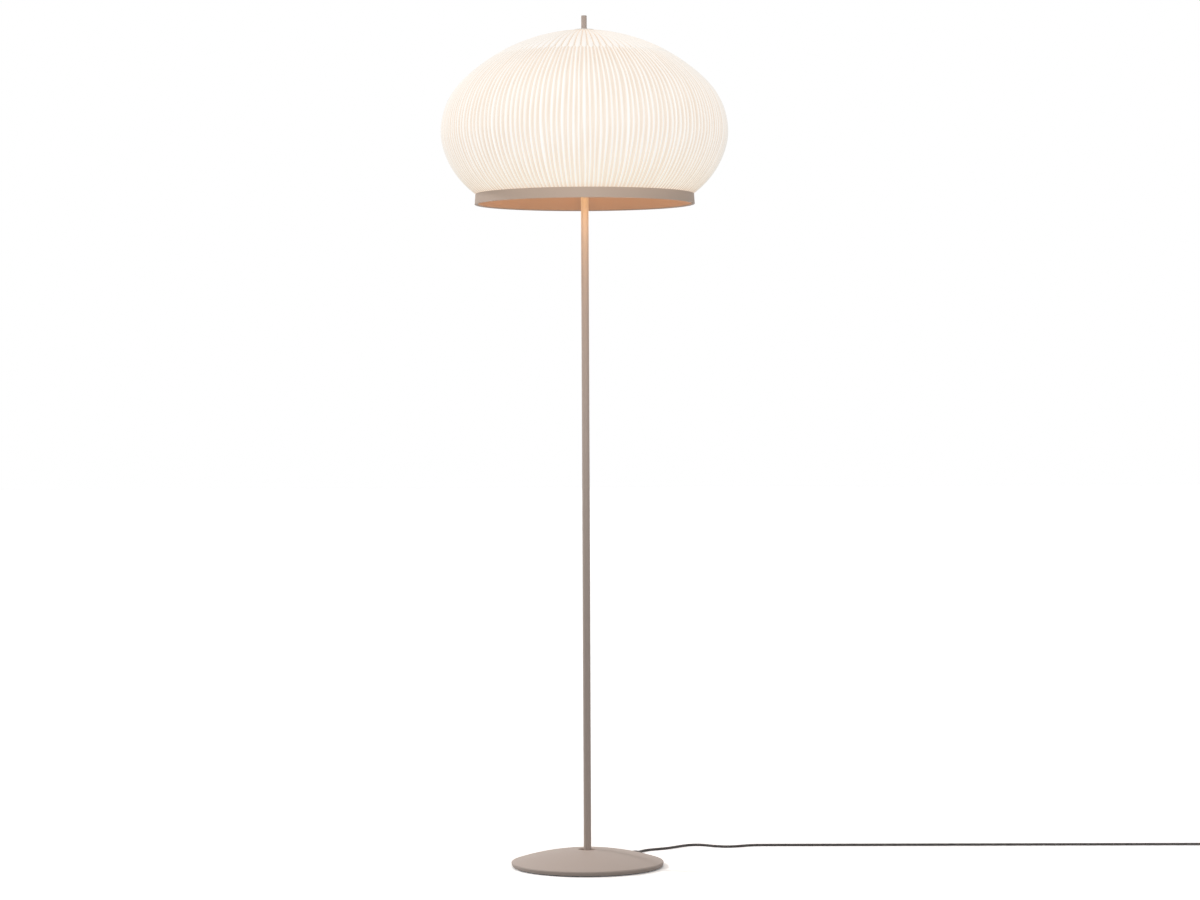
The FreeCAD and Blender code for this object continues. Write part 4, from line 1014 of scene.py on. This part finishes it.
def screwMesh(name, settings):
    # head's face at the origin, shank along +Z
    build = bmesh.new()
    head, deep, length = settings["head"], settings["headHeight"], settings["length"]
    rim, shank = settings["rim"], settings["shank"]
    outline = [(head * rim, 0.0), (head, deep * (1 - rim) + screws["land"])]
    if rim < 1:
        outline.append((head, deep))
    outline += [(shank, deep), (shank, length - shank / 2), (shank / 2, length)]
    turns = turnsOf(screws["sides"])
    rings = [[build.verts.new((r * math.cos(a), r * math.sin(a), z)) for a in turns] for r, z in outline]
    for upper, lower in zip(rings, rings[1:]):
        band(build, upper, lower)
    build.faces.new(rings[-1])
    arm, wide = head * screws["armReach"], head * screws["armWidth"]
    quarter = [(arm, -wide), (arm, wide), (wide, wide)]
    ways = ((1, 0), (0, 1), (-1, 0), (0, -1))
    cross = [(x * c - y * s, x * s + y * c) for c, s in ways for x, y in quarter]
    mouth = [build.verts.new((x, y, 0)) for x, y in cross]
    share = screws["floorShare"]
    floor = [build.verts.new((x * share, y * share, head * screws["recess"])) for x, y in cross]
    band(build, mouth, floor, smooth=False)
    build.faces.new(floor)
    # the head's face between its rim and the recess
    loops = (rings[0], mouth)
    edges = [build.edges.get((loop[step - 1], loop[step])) for loop in loops for step in range(len(loop))]
    bmesh.ops.triangle_fill(build, use_beauty=True, edges=edges)
    return meshFrom(name, build, screws["crease"])


def makeScrewTree():
    # a ring of screws round the lamp's axis, pointing up or outward, each turned its own way
    inputs = {"Screw": "Geometry", "Count": "Int", "Circle": "Float", "First": "Float", "Height": "Float",
              "Outward": "Float", "Seed": "Int", "Finish": "Material"}
    tree, given, made = newTree("screwRing", "GeometryNodeTree", inputs, {"Screws": "Geometry"})
    circle = wired(tree, "GeometryNodeMeshCircle", {"Vertices": given["Count"], "Radius": given["Circle"]})
    terms = {"Geometry": circle, "Rotation": joined(0.0, 0.0, given["First"]),
             "Translation": joined(0.0, 0.0, given["Height"])}
    placed = wired(tree, "GeometryNodeTransform", terms)
    spot = parted(wired(tree, "GeometryNodeInputPosition"))
    outward = given["Outward"]
    aim = joined(spot[0] * outward, spot[1] * outward, 1.0 - outward)
    aligned = wired(tree, "FunctionNodeAlignRotationToVector", {"Vector": aim}, axis="Z")
    terms = {3: math.pi / 2, "Seed": given["Seed"]}
    chance = wired(tree, "FunctionNodeRandomValue", terms, 1, data_type="FLOAT")
    twist = wired(tree, "FunctionNodeAxisAngleToRotation", {"Angle": chance})
    turned = wired(tree, "FunctionNodeRotateRotation", {0: aligned, 1: twist}, rotation_space="LOCAL")
    terms = {"Points": placed, "Instance": given["Screw"], "Rotation": turned}
    copies = wired(tree, "GeometryNodeInstanceOnPoints", terms)
    fill(made, {"Screws": dressed(copies, given["Finish"])})
    return tree


def makeScrews(name, node, settings, tree, circle, height):
    item = objectFrom(name, screwMesh(name, settings))
    grow(item, tree, {"Count": settings["count"], "Circle": circle, "First": math.radians(settings["first"]),
                      "Height": height, "Outward": settings["outward"], "Seed": screws["seed"],
                      "Finish": finishes["zinc_steel"]})
    mount(item, "zinc_steel", node)


screwTree = makeScrewTree()
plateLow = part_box("bottom_plate_screws")[0]
makeScrews("plateScrews", "bottom_plate_screws", plateScrews, screwTree, plateScrews["circle"], plateLow.z)
spiderLow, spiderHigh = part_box("spider_screws")
makeScrews("spiderScrews", "spider_screws", spiderScrews, screwTree, spiderHigh.y - spiderScrews["length"],
           (spiderLow.z + spiderHigh.z) / 2)
print("screws set")


# Return spring under the dimmer's button: it gives way as the button goes down

spring = {"wire": 0.0008, "turns": 6.0, "perTurn": 24, "sides": 12}


def makeSpring():
    low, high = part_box("button_spring")
    half, tall = spring["wire"] / 2, high.z - low.z
    count = round(spring["turns"] * spring["perTurn"])
    line = []
    for index in range(count + 1):
        around = flatWay(fullTurn * index / spring["perTurn"]) * (high.x - half)
        line.append(around + upward * (low.z + half + (tall - spring["wire"]) * index / count))
    mesh = skinOver("returnSpring", [ringsAlong(line, [half] * len(line), spring["sides"])])
    item = addPiece("returnSpring", mesh, "zinc_steel", "button_spring")
    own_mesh(item)


makeSpring()
print("return spring wound")


# Warm light inside the shade: all round, and down the stem

inside = {"color": rgba(1.0, 0.30, 0.03), "power": 0.059, "ring": 0.165, "count": 6, "height": 1.40,
          "radius": 0.03}
stemGlow = {"color": rgba(1.0, 0.64, 0.28), "power": 1.50, "ring": 0.16, "count": 4, "height": 1.43,
            "radius": 0.02, "aim": 1.21, "cone": 76.0}


def lampRing(name, kind, settings, **more):
    for index in range(settings["count"]):
        place = flatWay(fullTurn * (index + 0.5) / settings["count"]) * settings["ring"]
        place.z = settings["height"]
        addLamp("%s%d" % (name, index), kind, place, settings["power"], settings["color"],
                shadow_soft_size=settings["radius"], **more)


lampRing("warmLight", "POINT", inside)
lampRing("stemGlow", "SPOT", stemGlow, aim=(0, 0, stemGlow["aim"]), spot_blend=1.0,
         spot_size=math.radians(stemGlow["cone"]))
print("shade lit from inside")


# Finishes on the pieces that keep their solid shape

slots = {part["node"]: part["material_slot"] for part in frame["record"]["subparts"]}
for name, item in nodes.items():
    finish = finishes.get(name, finishes.get(slots[name]))
    if finish:
        item.data.materials.clear()
        item.data.materials.append(finish)
print("finishes assigned")
